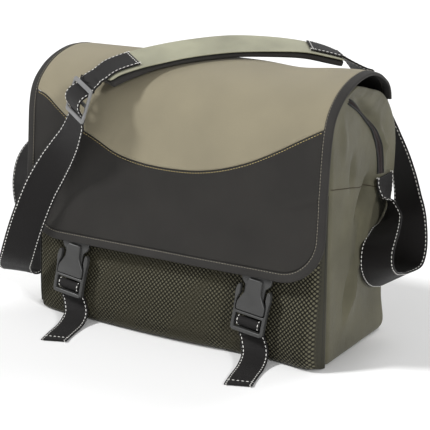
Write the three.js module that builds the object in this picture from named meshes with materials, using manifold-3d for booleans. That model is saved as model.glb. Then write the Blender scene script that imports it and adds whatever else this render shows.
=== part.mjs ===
// Fishing shoulder bag: a soft box body with a zip over the top, a mesh pocket in front, a long flap held by
// two side-release buckles, and a padded shoulder strap laid over the top.
// Millimetres. X runs to the right of the bag seen from the front, the front faces -Y, and Z is up.
// The origin is the centre of the base, on the floor.

import * as THREE from 'three';
import { mergeVertices } from 'three/addons/utils/BufferGeometryUtils.js';
import Module from 'manifold-3d';

// Body sizes

const body_width = 380;
const body_depth = 150;
const body_height = 291;
const cloth = 2.4;
const gap = 0.3;
const loose_gap = 0.6;
const slot_gap = 0.8;
const corner_radius = 7;
const half_width = body_width / 2;
const half_depth = body_depth / 2;

// Sizes of the flap, the pocket and the zip

const flap_height = 305;
const flap_half_width = 194.5;
const flap_cloth = 2.2;
const binding_width = 10;
const binding_thick = 3.6;
const flap_corner = 50;
const edge_curl = 2.5;
const ridge_dip = 4;
const ridge_dip_reach = 36;
const fold_height = 6;
const back_belly = 5;
const pocket_swell = 18;
const pocket_cloth = 1.8;
const zip_width = 9;
const zip_thick = 1.6;
const zip_bend = 6;
const coil_width = 4.4;
const coil_height = 1.3;

// Sizes of the straps, the pad, the slider and the buckles

const webbing_width = 40;
const webbing_thick = 2;
const pad_width = 50;
const pad_cover_thick = 2.2;
const pad_base_thick = 6;
const slider_width = 49;
const slider_length = 40;
const slider_bar = 5;
const slider_mid_bar = 4;
const slider_side = 3.8;
const slider_thick = 3;
const belt_width = 30;
const belt_thick = 1.6;
const hem_thick = 2.2;
const tail_rest = 1.3;
const buckle_drop = 30.5;
const buckle_stand_off = 8.15;
const buckle_thick = 3.4;
const plate_thick = 3.6;
const frame_back = 2.2;
const frame_front = 4.2;
const bevel = 0.6;

// Materials

function material(colour, roughness, metalness) {
  return new THREE.MeshStandardMaterial({ color: colour, roughness, metalness });
}

// Vectors and smooth tables

function point(x, y, z) {
  return new THREE.Vector3(x, y, z);
}

function smooth(a, b, c, d, t) {
  const turn_in = (c - a) / 2;
  const turn_out = (d - b) / 2;
  const t2 = t * t;
  const t3 = t2 * t;
  return b + turn_in * t + (3 * (c - b) - 2 * turn_in - turn_out) * t2
    + (2 * (b - c) + turn_in + turn_out) * t3;
}

// A row between two rows of a table, with the position counted in rows.
function row_at(rows, position) {
  const last = rows.length - 1;
  const i = Math.min(Math.floor(position), last - 1);
  const before = rows[Math.max(i - 1, 0)];
  const after = rows[Math.min(i + 2, last)];
  return rows[i].map((value, k) => smooth(before[k], value, rows[i + 1][k], after[k], position - i));
}

// The columns of a table at a value of its first column, in straight steps.
function look_up(rows, value) {
  let i = 0;
  while (i < rows.length - 2 && value > rows[i + 1][0]) i += 1;
  const share = (value - rows[i][0]) / (rows[i + 1][0] - rows[i][0]);
  const kept = Math.min(Math.max(share, 0), 1);
  return rows[i].map((start, k) => start + (rows[i + 1][k] - start) * kept);
}

function steps(count) {
  return Array.from({ length: count + 1 }, (unused, i) => i / count);
}

// Solids from rings of points

function solid(points, faces) {
  let volume = 0;
  for (const [a, b, c] of faces) {
    volume += points[a].dot(points[b].clone().cross(points[c]));
  }
  const index = faces.flatMap(([a, b, c]) => (volume > 0 ? [a, b, c] : [a, c, b]));
  const geometry = new THREE.BufferGeometry();
  const values = points.flatMap((p) => [p.x, p.y, p.z]);
  geometry.setAttribute('position', new THREE.Float32BufferAttribute(values, 3));
  geometry.setIndex(index);
  return geometry;
}

// Skins closed rings in order and closes both ends with a fan round their middle.
function loft(rings) {
  const count = rings[0].length;
  const points = rings.flat();
  const faces = [];
  for (let r = 0; r < rings.length - 1; r += 1) {
    for (let k = 0; k < count; k += 1) {
      const a = r * count + k;
      const b = r * count + (k + 1) % count;
      faces.push([a, b, b + count], [a, b + count, a + count]);
    }
  }
  for (const [start, turn] of [[0, -1], [(rings.length - 1) * count, 1]]) {
    const middle = point(0, 0, 0);
    for (let k = 0; k < count; k += 1) middle.addScaledVector(points[start + k], 1 / count);
    points.push(middle);
    for (let k = 0; k < count; k += 1) {
      const a = start + k;
      const b = start + (k + 1) % count;
      faces.push(turn > 0 ? [a, b, points.length - 1] : [b, a, points.length - 1]);
    }
  }
  return solid(points, faces);
}

// A sheet of cloth from a grid of points, thickened evenly to both sides of it.
function sheet(grid, thick) {
  const rows = grid.length;
  const columns = grid[0].length;
  const sides = [[], []];
  for (let r = 0; r < rows; r += 1) {
    for (let c = 0; c < columns; c += 1) {
      const along = grid[Math.min(r + 1, rows - 1)][c].clone().sub(grid[Math.max(r - 1, 0)][c]);
      const across = grid[r][Math.min(c + 1, columns - 1)].clone().sub(grid[r][Math.max(c - 1, 0)]);
      const normal = across.cross(along).normalize();
      sides[0].push(grid[r][c].clone().addScaledVector(normal, thick / 2));
      sides[1].push(grid[r][c].clone().addScaledVector(normal, -thick / 2));
    }
  }
  const total = rows * columns;
  const faces = [];
  for (let r = 0; r < rows - 1; r += 1) {
    for (let c = 0; c < columns - 1; c += 1) {
      const a = r * columns + c;
      const b = a + 1;
      const d = a + columns;
      faces.push([a, b, d], [b, d + 1, d]);
      faces.push([total + a, total + d, total + b], [total + b, total + d, total + d + 1]);
    }
  }
  const rim = [];
  for (let c = 0; c < columns; c += 1) rim.push(c);
  for (let r = 1; r < rows; r += 1) rim.push(r * columns + columns - 1);
  for (let c = columns - 2; c >= 0; c -= 1) rim.push((rows - 1) * columns + c);
  for (let r = rows - 2; r > 0; r -= 1) rim.push(r * columns);
  rim.forEach((a, i) => {
    const b = rim[(i + 1) % rim.length];
    faces.push([b, a, total + a], [b, total + a, total + b]);
  });
  return solid([...sides[0], ...sides[1]], faces);
}

// A flat strap through stations. Each station holds its middle, the direction across it, and maybe a
// thickness of its own.
function band(stations, width, thick) {
  const rings = stations.map((station, i) => {
    const before = stations[Math.max(i - 1, 0)].at;
    const after = stations[Math.min(i + 1, stations.length - 1)].at;
    const along = after.clone().sub(before).normalize();
    const across = station.across.clone();
    across.addScaledVector(along, -across.dot(along)).normalize();
    const up = across.clone().cross(along);
    const half = (station.thick ?? thick) / 2;
    const corners = [[-0.5, -half], [0.5, -half], [0.5, half], [-0.5, half]];
    return corners.map(([a, b]) => station.at.clone()
      .addScaledVector(across, a * width)
      .addScaledVector(up, b));
  });
  return loft(rings);
}

// A station from a row: x, y, z of the middle as shares of half_width, half_depth and body_height, then
// x, y, z of the direction across.
function station_of([x, y, z, across_x, across_y, across_z]) {
  return {
    at: point(x * half_width, y * half_depth, z * body_height),
    across: point(across_x, across_y, across_z).normalize(),
  };
}

// A table's rows with as many again between them.
function doubled(rows) {
  const last = rows.length - 1;
  return steps(2 * last).map((share) => row_at(rows, share * last));
}

function scaled(rows, unit) {
  return rows.map((row) => row.map((value) => value * unit));
}

// Cutting of closed solids

const wasm = await Module();
wasm.setup();

function body_of(geometry) {
  const bare = geometry.clone();
  bare.deleteAttribute('normal');
  bare.deleteAttribute('uv');
  const merged = mergeVertices(bare, 1e-4);
  return new wasm.Manifold(new wasm.Mesh({
    numProp: 3,
    vertProperties: new Float32Array(merged.attributes.position.array),
    triVerts: new Uint32Array(merged.index.array),
  }));
}

// Turns a body from its own axes into the bag's.
function set_in(body, axes, middle) {
  const frame = new THREE.Matrix4().makeBasis(...axes);
  frame.setPosition(middle.x, middle.y, middle.z);
  const geometry = geometry_of(body);
  const places = geometry.attributes.position;
  const points = [];
  for (let i = 0; i < places.count; i += 1) {
    points.push(new THREE.Vector3().fromBufferAttribute(places, i).applyMatrix4(frame));
  }
  const index = Array.from(geometry.index.array);
  const faces = [];
  for (let i = 0; i < index.length; i += 3) faces.push(index.slice(i, i + 3));
  return solid(points, faces);
}

function geometry_of(body) {
  const mesh = body.getMesh();
  const geometry = new THREE.BufferGeometry();
  const values = [];
  for (let i = 0; i < mesh.numVert; i += 1) {
    for (let k = 0; k < 3; k += 1) values.push(mesh.vertProperties[i * mesh.numProp + k]);
  }
  geometry.setAttribute('position', new THREE.Float32BufferAttribute(values, 3));
  geometry.setIndex(Array.from(mesh.triVerts));
  return geometry;
}

// Body: one section per row, from the base up to the ridge.
// Columns: height as a share of body_height; front and back as shares of half_depth; side of half_width.

const body_rows = [
  [0, 0.92, 0.8, 0.972],
  [0.012, 0.975, 0.885, 0.992],
  [0.045, 1, 0.94, 1],
  [0.165, 1, 0.84, 1],
  [0.309, 1, 0.92, 0.998],
  [0.447, 1, 1.03, 0.997],
  [0.567, 1, 1.12, 0.997],
  [0.653, 1, 1.16, 0.999],
  [0.739, 1, 1.17, 0.999],
  [0.808, 1, 1.13, 0.997],
  [0.859, 0.985, 1.045, 0.993],
  [0.9, 0.93, 0.935, 0.99],
  [0.931, 0.84, 0.81, 0.986],
  [0.955, 0.72, 0.64, 0.983],
  [0.974, 0.56, 0.373, 0.98],
  [0.99, 0.36, 0.147, 0.977],
  [1, 0.16, -0.053, 0.974],
];

// Folds of the side panels.
// Columns: y as a share of half_depth, z of body_height, lean in degrees, half length and half breadth as
// shares of body_height, then the height as a share of fold_height; a hollow has a negative one.

const side_folds = [
  [0.1, 0.52, 14, 0.144, 0.058, -1],
  [-0.24, 0.21, 25, 0.103, 0.031, 0.5],
  [-0.45, 0.78, 0, 0.124, 0.082, 0.5],
  [0.7, 0.8, -20, 0.089, 0.041, -0.5],
  [0.45, 0.17, 0, 0.103, 0.076, -0.583],
  [0.62, 0.62, 0, 0.103, 0.048, 0.417],
];

function side_fold(y, z) {
  let sum = 0;
  for (const [y_share, z_share, lean, length, breadth, height] of side_folds) {
    const turn = THREE.MathUtils.degToRad(lean);
    const dy = y - y_share * half_depth;
    const dz = z - z_share * body_height;
    const along = (dz * Math.cos(turn) + dy * Math.sin(turn)) / (length * body_height);
    const beside = (dy * Math.cos(turn) - dz * Math.sin(turn)) / (breadth * body_height);
    sum += height * fold_height * Math.exp(-along * along - beside * beside);
  }
  return sum;
}

// Half width of the body at a place on its side panels.
function side_at(y, z) {
  const [, front_share, back_share, side_share] = look_up(body_rows, z / body_height);
  const front = -front_share * half_depth + corner_radius;
  const back = back_share * half_depth - corner_radius;
  const share = Math.min(Math.max((y - front) / (back - front), 0), 1);
  return half_width * side_share + side_fold(y, z) * Math.sin(Math.PI * share);
}

const front_spans = 8;
const side_spans = 10;
const corner_spans = 2;
const ridge_corner = 0.4;
const belly_top = 0.9;
const base_share = 0.01;
const ridge_share = 0.88;

// A closed rounded oblong: front, right corner, right side, back, left side, moved inward by inset.
function body_ring(row, inset, lift) {
  const [height, front_share, back_share, side_share] = row;
  const z = height * body_height + lift;
  const front = -front_share * half_depth + inset;
  const back = back_share * half_depth - inset;
  const radius = Math.min(corner_radius, (back - front) * ridge_corner);
  const half = side_share * half_width - inset - radius;
  const belly = back_belly * Math.sin(Math.PI * Math.min(height / belly_top, 1));
  const ring = [];
  const corner = (x, y, start) => {
    for (let k = 1; k <= corner_spans; k += 1) {
      const a = start + (k / (corner_spans + 1)) * Math.PI / 2;
      ring.push(point(x + Math.cos(a) * radius, y + Math.sin(a) * radius, z));
    }
  };
  const side_line = (sign) => {
    for (const t of steps(side_spans)) {
      const share = sign > 0 ? t : 1 - t;
      const y = front + radius + (back - front - 2 * radius) * share;
      const fold = side_fold(y, z) * Math.sin(Math.PI * share);
      ring.push(point(sign * (half + radius + fold), y, z));
    }
  };
  for (const t of steps(front_spans)) ring.push(point(half * (2 * t - 1), front, z));
  corner(half, front + radius, -Math.PI / 2);
  side_line(1);
  corner(half, back - radius, 0);
  for (const t of steps(front_spans)) {
    const share = 1 - 2 * t;
    ring.push(point(half * share, back + belly * (1 - share * share), z));
  }
  corner(-half, back - radius, Math.PI / 2);
  side_line(-1);
  corner(-half, front + radius, Math.PI);
  return ring;
}

// The inner skin is pushed up at the base and down at the ridge, so that the wall keeps its thickness.
function body_skin(inset) {
  const rings = body_rows.map((row) => {
    const low = row[0] < base_share ? inset : 0;
    const high = row[0] > ridge_share ? -inset : 0;
    return body_ring(row, inset, low + high);
  });
  return loft(rings);
}

// Zip: up the right side, over the top and down the left side, on the skin of the body.
// Columns: y as a share of half_depth, z of body_height, for the right side from the tab upwards.

const zip_rows = [
  [0.56, 0.647],
  [0.55, 0.7],
  [0.51, 0.75],
  [0.43, 0.788],
  [0.29, 0.832],
  [0.1, 0.877],
  [-0.13, 0.92],
  [-0.46, 0.965],
];
const zip_top_y = -0.56 * half_depth;
const zip_top_z = 0.974 * body_height;

// Stations of the right half, from the tab to just past the middle of the top.
function zip_path() {
  const stations = doubled(zip_rows).map(([y_share, z_share]) => {
    const y = y_share * half_depth;
    const z = z_share * body_height;
    return { at: point(side_at(y, z), y, z), up: point(1, 0, 0) };
  });
  const top_half = stations[stations.length - 1].at.x - zip_bend;
  stations.push({
    at: point(top_half + zip_bend * 0.75, zip_top_y + zip_bend * 0.2, zip_top_z - zip_bend * 0.28),
    up: point(0.6, -0.35, 0.7),
  });
  for (const x of [top_half, top_half / 2, -gap]) {
    stations.push({ at: point(x, zip_top_y, zip_top_z), up: point(0, -0.45, 0.9) });
  }
  return stations;
}

// A ribbon along the zip, mirrored for the left half; its section is a list of [across, up] corners.
function zip_ribbon(section, trim) {
  const path = zip_path();
  const inward = path[1].at.clone().sub(path[0].at).normalize();
  path[0].at.addScaledVector(inward, trim);
  const rings = path.map((station, i) => {
    const before = path[Math.max(i - 1, 0)].at;
    const after = path[Math.min(i + 1, path.length - 1)].at;
    const along = after.clone().sub(before).normalize();
    const across = along.clone().cross(station.up).normalize();
    const up = across.clone().cross(along);
    return section.map(([a, b]) => station.at.clone()
      .addScaledVector(across, a)
      .addScaledVector(up, b));
  });
  const half = body_of(loft(rings));
  return half.add(half.mirror([1, 0, 0]));
}

function oblong(width, low, high) {
  return [[-width / 2, low], [width / 2, low], [width / 2, high], [-width / 2, high]];
}

const slot_deep = 1.8;

function main_body() {
  const outer = body_of(body_skin(0));
  const inner = body_of(body_skin(cloth));
  const slot = zip_ribbon(oblong(zip_width + 2 * slot_gap, -slot_deep * cloth, cloth), 0);
  return geometry_of(outer.subtract(inner).subtract(slot));
}

function zip_chain() {
  const half = zip_width / 2;
  const top = -cloth + zip_thick + gap;
  const coil = coil_width / 2;
  const crown = coil * 0.6;
  return geometry_of(zip_ribbon([
    [-half, -cloth], [half, -cloth], [half, top], [coil, top],
    [crown, top + coil_height], [-crown, top + coil_height], [-coil, top], [-half, top],
  ], gap));
}

// Front pocket: cloth behind mesh, bulged forward, closed at the sides and the bottom, open at the top.
// Columns: z as a share of body_height, then the swell as a share of pocket_swell.

const pocket_rows = [
  [0.003, 0.36],
  [0.009, 0.64],
  [0.022, 0.86],
  [0.05, 1.02],
  [0.12, 1.02],
  [0.2, 0.86],
  [0.28, 0.6],
  [0.36, 0.52],
  [0.5, 0.42],
  [0.65, 0.32],
];

// Columns: x as a share of half_width, then the swell as a share of its value in the row.

const pocket_columns = [
  [-0.992, 0.02],
  [-0.975, 0.3],
  [-0.93, 0.6],
  [-0.86, 0.78],
  [-0.74, 0.9],
  [-0.55, 1.02],
  [-0.32, 1.18],
  [-0.1, 1.25],
  [0.1, 1.22],
  [0.28, 1.1],
  [0.42, 0.92],
  [0.58, 0.88],
  [0.78, 1.02],
  [0.9, 1.22],
  [0.955, 1.02],
  [0.982, 0.5],
  [0.992, 0.02],
];

// The middle of the pocket cloth.
function pocket_at(x, z) {
  const down = look_up(pocket_rows, z / body_height)[1];
  const over = look_up(pocket_columns, x / half_width)[1];
  return -half_depth - gap - pocket_cloth / 2 - pocket_swell * down * over;
}

// The foremost place of the pocket within a belt's width of x, on the outside of the cloth.
function pocket_front(x, z) {
  const shares = [-0.5, -0.25, 0, 0.25, 0.5];
  return Math.min(...shares.map((s) => pocket_at(x + s * belt_width, z))) - pocket_cloth / 2;
}

function front_pocket() {
  const grid = pocket_rows.map(([z_share]) => pocket_columns.map(([x_share]) => {
    const x = x_share * half_width;
    const z = z_share * body_height;
    return point(x, pocket_at(x, z), z);
  }));
  return sheet(grid, pocket_cloth);
}

// Flap: one profile from the seam on the back, over the ridge, down the front.
// Columns: y as a share of half_depth, z of flap_height, half width of flap_half_width.

const flap_rows = [
  [0.928, 0.872, 0.972],
  [0.888, 0.907, 0.975],
  [0.79, 0.937, 0.98],
  [0.627, 0.962, 0.985],
  [0.427, 0.984, 0.99],
  [0.173, 0.998, 0.995],
  [-0.067, 1, 1],
  [-0.293, 0.992, 1],
  [-0.507, 0.977, 1],
  [-0.693, 0.956, 1],
  [-0.853, 0.928, 1],
  [-0.973, 0.898, 1],
  [-1.053, 0.862, 1],
  [-1.107, 0.813, 1],
  [-1.14, 0.754, 1],
  [-1.173, 0.656, 1],
  [-1.205, 0.557, 1],
  [-1.255, 0.45, 1],
  [-1.31, 0.365, 1],
  [-1.345, 0.314, 1],
];

// Finely spaced places down the profile, with their distance from the back seam.
const profile = (() => {
  const list = [];
  let length = 0;
  for (const share of steps((flap_rows.length - 1) * 6)) {
    const [y_share, z_share, wide] = row_at(flap_rows, share * (flap_rows.length - 1));
    const y = y_share * half_depth;
    const z = z_share * flap_height;
    const last = list[list.length - 1];
    if (last) length += Math.hypot(y - last[1], z - last[2]);
    list.push([length, y, z, wide * flap_half_width]);
  }
  return list;
})();
const flap_length = profile[profile.length - 1][0];

// Distance down the profile at which its front comes to a height.
function length_at_height(z) {
  let i = profile.length - 1;
  while (i > 1 && profile[i - 1][2] < z) i -= 1;
  const [low, high] = [profile[i], profile[i - 1]];
  const share = (z - low[2]) / (high[2] - low[2]);
  return low[0] + (high[0] - low[0]) * share;
}

function flap_half(length) {
  return look_up(profile, length)[3];
}

const normal_reach = 4;
const curl_start = 0.9;
const dip_place = 0.55;

// A place on the middle of the flap cloth, at a distance from the back seam and an x, moved along its
// normal by lift.
function flap_at(x, length, lift = 0) {
  const [, y, z, half] = look_up(profile, length);
  const before = look_up(profile, Math.max(length - normal_reach, 0));
  const after = look_up(profile, Math.min(length + normal_reach, flap_length));
  const along = Math.hypot(after[1] - before[1], after[2] - before[2]);
  const normal_y = -(before[2] - after[2]) / along;
  const normal_z = (before[1] - after[1]) / along;
  const edge = Math.max(Math.abs(x) / half - curl_start, 0) / (1 - curl_start);
  const dip_x = (x - dip_place * half_width) / ridge_dip_reach;
  const dip = ridge_dip * Math.exp(-dip_x * dip_x) * Math.max(normal_z, 0);
  const out = lift - edge_curl * edge * edge * Math.max(normal_z, 0) - dip;
  return point(x, y + normal_y * out, z + normal_z * out);
}

// Height of the seam between the two panels.
// Columns: x as a share of half_width, z as a share of flap_height.

const seam_rows = [
  [-1.03, 0.872],
  [-0.89, 0.845],
  [-0.79, 0.803],
  [-0.695, 0.764],
  [-0.5, 0.71],
  [-0.37, 0.673],
  [-0.225, 0.652],
  [-0.1, 0.644],
  [0.03, 0.643],
  [0.2, 0.65],
  [0.32, 0.664],
  [0.53, 0.706],
  [0.68, 0.75],
  [0.84, 0.804],
  [1.03, 0.866],
];

// Distance down the flap of its bottom edge, with rounded corners, kept in from the edge by inset.
function bottom_length(x, inset) {
  const radius = flap_corner - inset;
  const past = Math.abs(x) - (flap_half_width - flap_corner);
  const turned = past > 0 ? radius - Math.sqrt(Math.max(radius * radius - past * past, 0)) : 0;
  return flap_length - inset - turned;
}

const flap_shares = [-1, -0.985, -0.94, -0.86, -0.76, -0.62, -0.46, -0.3, -0.14, 0,
  0.14, 0.3, 0.46, 0.62, 0.76, 0.86, 0.94, 0.985, 1];
const panel_inset = binding_width + gap;

// One panel between two borders, each a distance down the flap as a function of x.
function flap_panel(from, to, spans) {
  const grid = steps(spans).map((t) => flap_shares.map((share) => {
    const guess = share * (flap_half_width - panel_inset);
    const length = from(guess) + (to(guess) - from(guess)) * t;
    const x = share * (flap_half(length) - panel_inset);
    return flap_at(x, length);
  }));
  return sheet(grid, flap_cloth);
}

function seam_length(x) {
  return length_at_height(look_up(seam_rows, x / half_width)[1] * flap_height);
}

const upper_spans = 15;
const lower_spans = 6;

function flap_upper() {
  return flap_panel(() => 0, (x) => seam_length(x) - loose_gap / 2, upper_spans);
}

function flap_lower() {
  return flap_panel((x) => seam_length(x) + loose_gap / 2, (x) => bottom_length(x, panel_inset), lower_spans);
}

// The outline of the flap in x and distance down, from the right back round to the left back, with the
// direction that points inward.
function flap_outline() {
  const right = [];
  const straight = flap_length - flap_corner;
  for (const t of steps(17)) {
    const length = t * straight;
    right.push([flap_half(length), length, -1, 0]);
  }
  const corner_x = flap_half_width - flap_corner;
  for (const t of steps(8).slice(1)) {
    const a = t * Math.PI / 2;
    right.push([corner_x + Math.cos(a) * flap_corner, straight + Math.sin(a) * flap_corner,
      -Math.cos(a), -Math.sin(a)]);
  }
  for (const share of [0.75, 0.5, 0.25]) right.push([corner_x * share, flap_length, 0, -1]);
  const left = right.map(([x, length, in_x, in_length]) => [-x, length, -in_x, in_length]).reverse();
  return [...right, [0, flap_length, 0, -1], ...left];
}

// Edging with a rounded outer edge. Section columns: share of the width inward, share of the thickness up.
const binding_section = [[0, -0.25], [0.12, -0.5], [1, -0.5], [1, 0.5], [0.12, 0.5], [0, 0.25]];

function flap_binding() {
  const rings = flap_outline().map(([x, length, in_x, in_length]) => binding_section.map(([a, b]) => {
    const inward = a * binding_width;
    return flap_at(x + in_x * inward, length + in_length * inward, b * binding_thick);
  }));
  return loft(rings);
}

// Buckles: each hangs under the edge of the flap, leaning a little, and is set out in its own frame with
// u across, v up and w forward.

const buckle_x = { left: -0.663 * half_width, right: 0.595 * half_width };
const buckle_z = flap_rows[flap_rows.length - 1][1] * flap_height - buckle_drop;
const buckle_lean = THREE.MathUtils.degToRad(7);
const buckle_tilt = THREE.MathUtils.degToRad(8.5);

function buckle_axes() {
  const turn = new THREE.Matrix4().makeRotationY(buckle_lean);
  turn.multiply(new THREE.Matrix4().makeRotationX(-buckle_tilt));
  const u = point(1, 0, 0).applyMatrix4(turn);
  const v = point(0, 0, 1).applyMatrix4(turn);
  return { u, v, w: u.clone().cross(v).normalize() };
}

function buckle_middle(side) {
  return point(buckle_x[side], pocket_front(buckle_x[side], buckle_z) - buckle_stand_off, buckle_z);
}

function buckle_point(side, u, v, w) {
  const axes = buckle_axes();
  return buckle_middle(side)
    .addScaledVector(axes.u, u)
    .addScaledVector(axes.v, v)
    .addScaledVector(axes.w, w);
}

// A bevelled plate cut to an outline, between two depths of the buckle's frame.
function plate(outline, holes, low, high) {
  const shape = new THREE.Shape(outline.map(([u, v]) => new THREE.Vector2(u, v)));
  for (const hole of holes) {
    shape.holes.push(new THREE.Path(hole.map(([u, v]) => new THREE.Vector2(u, v))));
  }
  const geometry = new THREE.ExtrudeGeometry(shape, {
    depth: high - low - 2 * bevel,
    bevelEnabled: true,
    bevelThickness: bevel,
    bevelSize: bevel,
    bevelOffset: -bevel,
    bevelSegments: 1,
    steps: 1,
  });
  geometry.translate(0, 0, low + bevel);
  return body_of(geometry);
}

function set_in_buckle(side, body) {
  const { u, v, w } = buckle_axes();
  return set_in(body, [u, v, w], buckle_middle(side));
}

function both_sides(right_half) {
  return [...right_half, ...right_half.map(([u, v]) => [-u, v]).reverse()];
}

function hole(half, low, high) {
  return [[-half, low], [-half, high], [half, high], [half, low]];
}

// Outlines of the two halves, across and up as shares of belt_width.

const socket_outline = both_sides([
  [0.583, -0.333], [0.583, 0.033], [0.413, 0.167], [0.4, 0.617],
  [0.517, 0.717], [0.6, 0.833], [0.617, 1.283], [0.55, 1.35],
]);
const socket_plate = both_sides([[0.567, -0.32], [0.567, -0.017], [0.32, 0.4], [0.273, 0.917]]);
const prong_outline = both_sides([
  [0.58, -1.1], [0.667, -1.02], [0.667, -0.347], [0.68, 0], [0.713, 0.267], [0.693, 0.5],
  [0.613, 0.62], [0.54, 0.567], [0.52, 0.267], [0.597, 0.053], [0.597, -0.347],
]);
const belt_slot = hole(0.54, 1.047, 1.207);
const belt_window = hole(0.54, -0.953, -0.453);
const middle_bar = [[-0.567, -0.76], [0.567, -0.76], [0.567, -0.653], [-0.567, -0.653]];

function buckle_socket(side) {
  const half = buckle_thick / 2;
  const base = plate(scaled(socket_outline, belt_width), [scaled(belt_slot, belt_width)], -half, half);
  const raised = plate(scaled(socket_plate, belt_width), [], half - 2 * bevel, half + plate_thick);
  return set_in_buckle(side, base.add(raised));
}

function buckle_prong(side) {
  const window_hole = scaled(belt_window, belt_width);
  const frame = plate(scaled(prong_outline, belt_width), [window_hole], -frame_back, frame_front);
  const bar = plate(scaled(middle_bar, belt_width), [], -buckle_thick / 2, buckle_thick / 2);
  return set_in_buckle(side, frame.add(bar));
}

// Belt from under the flap, round the top bar of the socket and back up behind it.
// Columns in the buckle's frame, as shares of belt_width: v, w.

const flap_belt_rows = [
  [1.467, 0.103],
  [1.267, 0.1],
  [1.153, 0.083],
  [1.107, 0],
  [1.153, -0.083],
  [1.267, -0.1],
  [1.667, -0.1],
];

// Heights of the belt under the flap, as shares of flap_height.
const flap_belt_tops = [0.433, 0.407, 0.38];

function flap_strap(side) {
  const u_axis = buckle_axes().u;
  const stations = flap_belt_tops.map((share) => {
    const z = share * flap_height;
    const length = length_at_height(z);
    const at = flap_at(buckle_x[side] + (z - buckle_z) * Math.tan(buckle_lean), length,
      -flap_cloth / 2 - loose_gap - belt_thick / 2);
    return { at, across: point(1, 0, 0) };
  });
  for (const [v, w] of scaled(doubled(flap_belt_rows), belt_width)) {
    stations.push({ at: buckle_point(side, 0, v, w), across: u_axis });
  }
  return band(stations, belt_width, belt_thick);
}

// Belt from the bottom of the front, up behind the prong half, over its middle bar, back behind its lower
// bar and down as a free tail that curls forward on the floor.
// Columns in the buckle's frame, as shares of belt_width: v, w, u.

const belt_in_buckle = [
  [-1, -0.22, 0.06],
  [-0.817, -0.193, 0.02],
  [-0.66, -0.113, 0],
  [-0.573, -0.013, 0],
  [-0.577, 0.053, 0],
  [-0.64, 0.097, 0],
  [-0.76, 0.097, 0],
  [-0.833, 0.053, 0],
  [-0.88, -0.033, 0],
  [-0.947, -0.113, 0.033],
  [-1.033, -0.147, 0.06],
  [-1.133, -0.153, 0.1],
];

// Columns: x and y from the place where the belt leaves the buckle, as shares of belt_width; height above
// tail_rest, as a share of the drop from that place; turn of its width in degrees.

const tail_rows = [
  [0.07, 0.01, 0.79, 6],
  [0.18, -0.04, 0.477, 10],
  [0.28, -0.25, 0.216, 16],
  [0.4, -0.73, 0.052, 24],
  [0.54, -1.38, 0.007, 30],
  [0.69, -1.93, 0, 35],
  [0.78, -2.2, 0.01, 36],
];

// Heights of the belt against the foot of the pocket, as shares of buckle_z.
const low_belt_heights = [0.107, 0.169, 0.23, 0.306];
const low_belt_shift = 0.15;

function front_strap(side) {
  const axes = buckle_axes();
  const stations = low_belt_heights.map((share) => {
    const z = share * buckle_z;
    const x = buckle_x[side] + (z - buckle_z) * Math.tan(buckle_lean) + low_belt_shift * belt_width;
    return { at: point(x, pocket_front(x, z) - loose_gap - belt_thick / 2, z), across: point(1, 0, 0) };
  });
  for (const [v, w, u] of scaled(doubled(belt_in_buckle), belt_width)) {
    stations.push({ at: buckle_point(side, u, v, w), across: axes.u });
  }
  const leave = stations[stations.length - 1].at;
  const drop = leave.z - tail_rest;
  const tail = doubled(tail_rows);
  tail.forEach(([x, y, rise, turn], i) => {
    const a = THREE.MathUtils.degToRad(turn);
    stations.push({
      at: point(leave.x + x * belt_width, leave.y + y * belt_width, tail_rest + rise * drop),
      across: point(Math.cos(a), Math.sin(a), 0),
      thick: i >= tail.length - 2 ? hem_thick : belt_thick,
    });
  });
  return band(stations, belt_width, belt_thick);
}

// Shoulder strap. Columns of its tables: x, y, z of the middle as shares of half_width, half_depth and
// body_height, then x, y, z of the direction across it. The rows of the pad end with the thickness of its base
// as a share of pad_base_thick.

const pad_rows = [
  [-0.458, -1.173, 0.997, 0.8, -0.56, -0.15, 1.6],
  [-0.421, -1.027, 1.024, 0.8, -0.57, -0.17, 1.75],
  [-0.342, -0.747, 1.048, 0.77, -0.6, -0.2, 1.4],
  [-0.242, -0.48, 1.067, 0.68, -0.7, -0.24, 1],
  [-0.095, -0.2, 1.088, 0.6, -0.77, -0.24, 1],
  [0.095, 0.147, 1.103, 0.57, -0.79, -0.23, 1],
  [0.284, 0.493, 1.101, 0.54, -0.82, -0.18, 1.1],
  [0.442, 0.787, 1.09, 0.52, -0.85, -0.1, 1.2],
  [0.558, 1.013, 1.066, 0.55, -0.83, -0.05, 1.2],
  [0.625, 1.141, 1.046, 0.62, -0.78, 0, 1.1],
];

const pad_last = pad_rows.length - 1;
const pad_reach = 0.18;

// Middle, direction across and direction up of the pad, at a place counted in rows of its table.
function pad_frame(place) {
  const here = station_of(row_at(pad_rows, place));
  const before = station_of(row_at(pad_rows, Math.max(place - pad_reach, 0)));
  const after = station_of(row_at(pad_rows, Math.min(place + pad_reach, pad_last)));
  const along = after.at.clone().sub(before.at).normalize();
  const across = here.across.clone();
  across.addScaledVector(along, -across.dot(along)).normalize();
  return { at: here.at, across, up: across.clone().cross(along) };
}

// Section of a layer of the pad. Columns: share of its width across, share of half its thickness up.
const pad_section = [
  [-0.5, 0],
  [-0.44, -0.8],
  [-0.3, -1],
  [0.3, -1],
  [0.44, -0.8],
  [0.5, 0],
  [0.44, 0.8],
  [0.3, 1],
  [-0.3, 1],
  [-0.44, 0.8],
];
const pad_spans = 18;
const pad_end_width = 0.86;

// One layer down from a height over the table's line, with a thickness that depends on the place.
function pad_layer(high, thick_at, width) {
  const rings = steps(pad_spans).map((share) => {
    const { at, across, up } = pad_frame(share * pad_last);
    const half = thick_at(share * pad_last) / 2;
    const middle = high - half;
    const wide = share === 0 || share === 1 ? width * pad_end_width : width;
    return pad_section.map(([a, b]) => at.clone()
      .addScaledVector(across, a * wide)
      .addScaledVector(up, middle + b * half));
  });
  return loft(rings);
}

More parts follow.
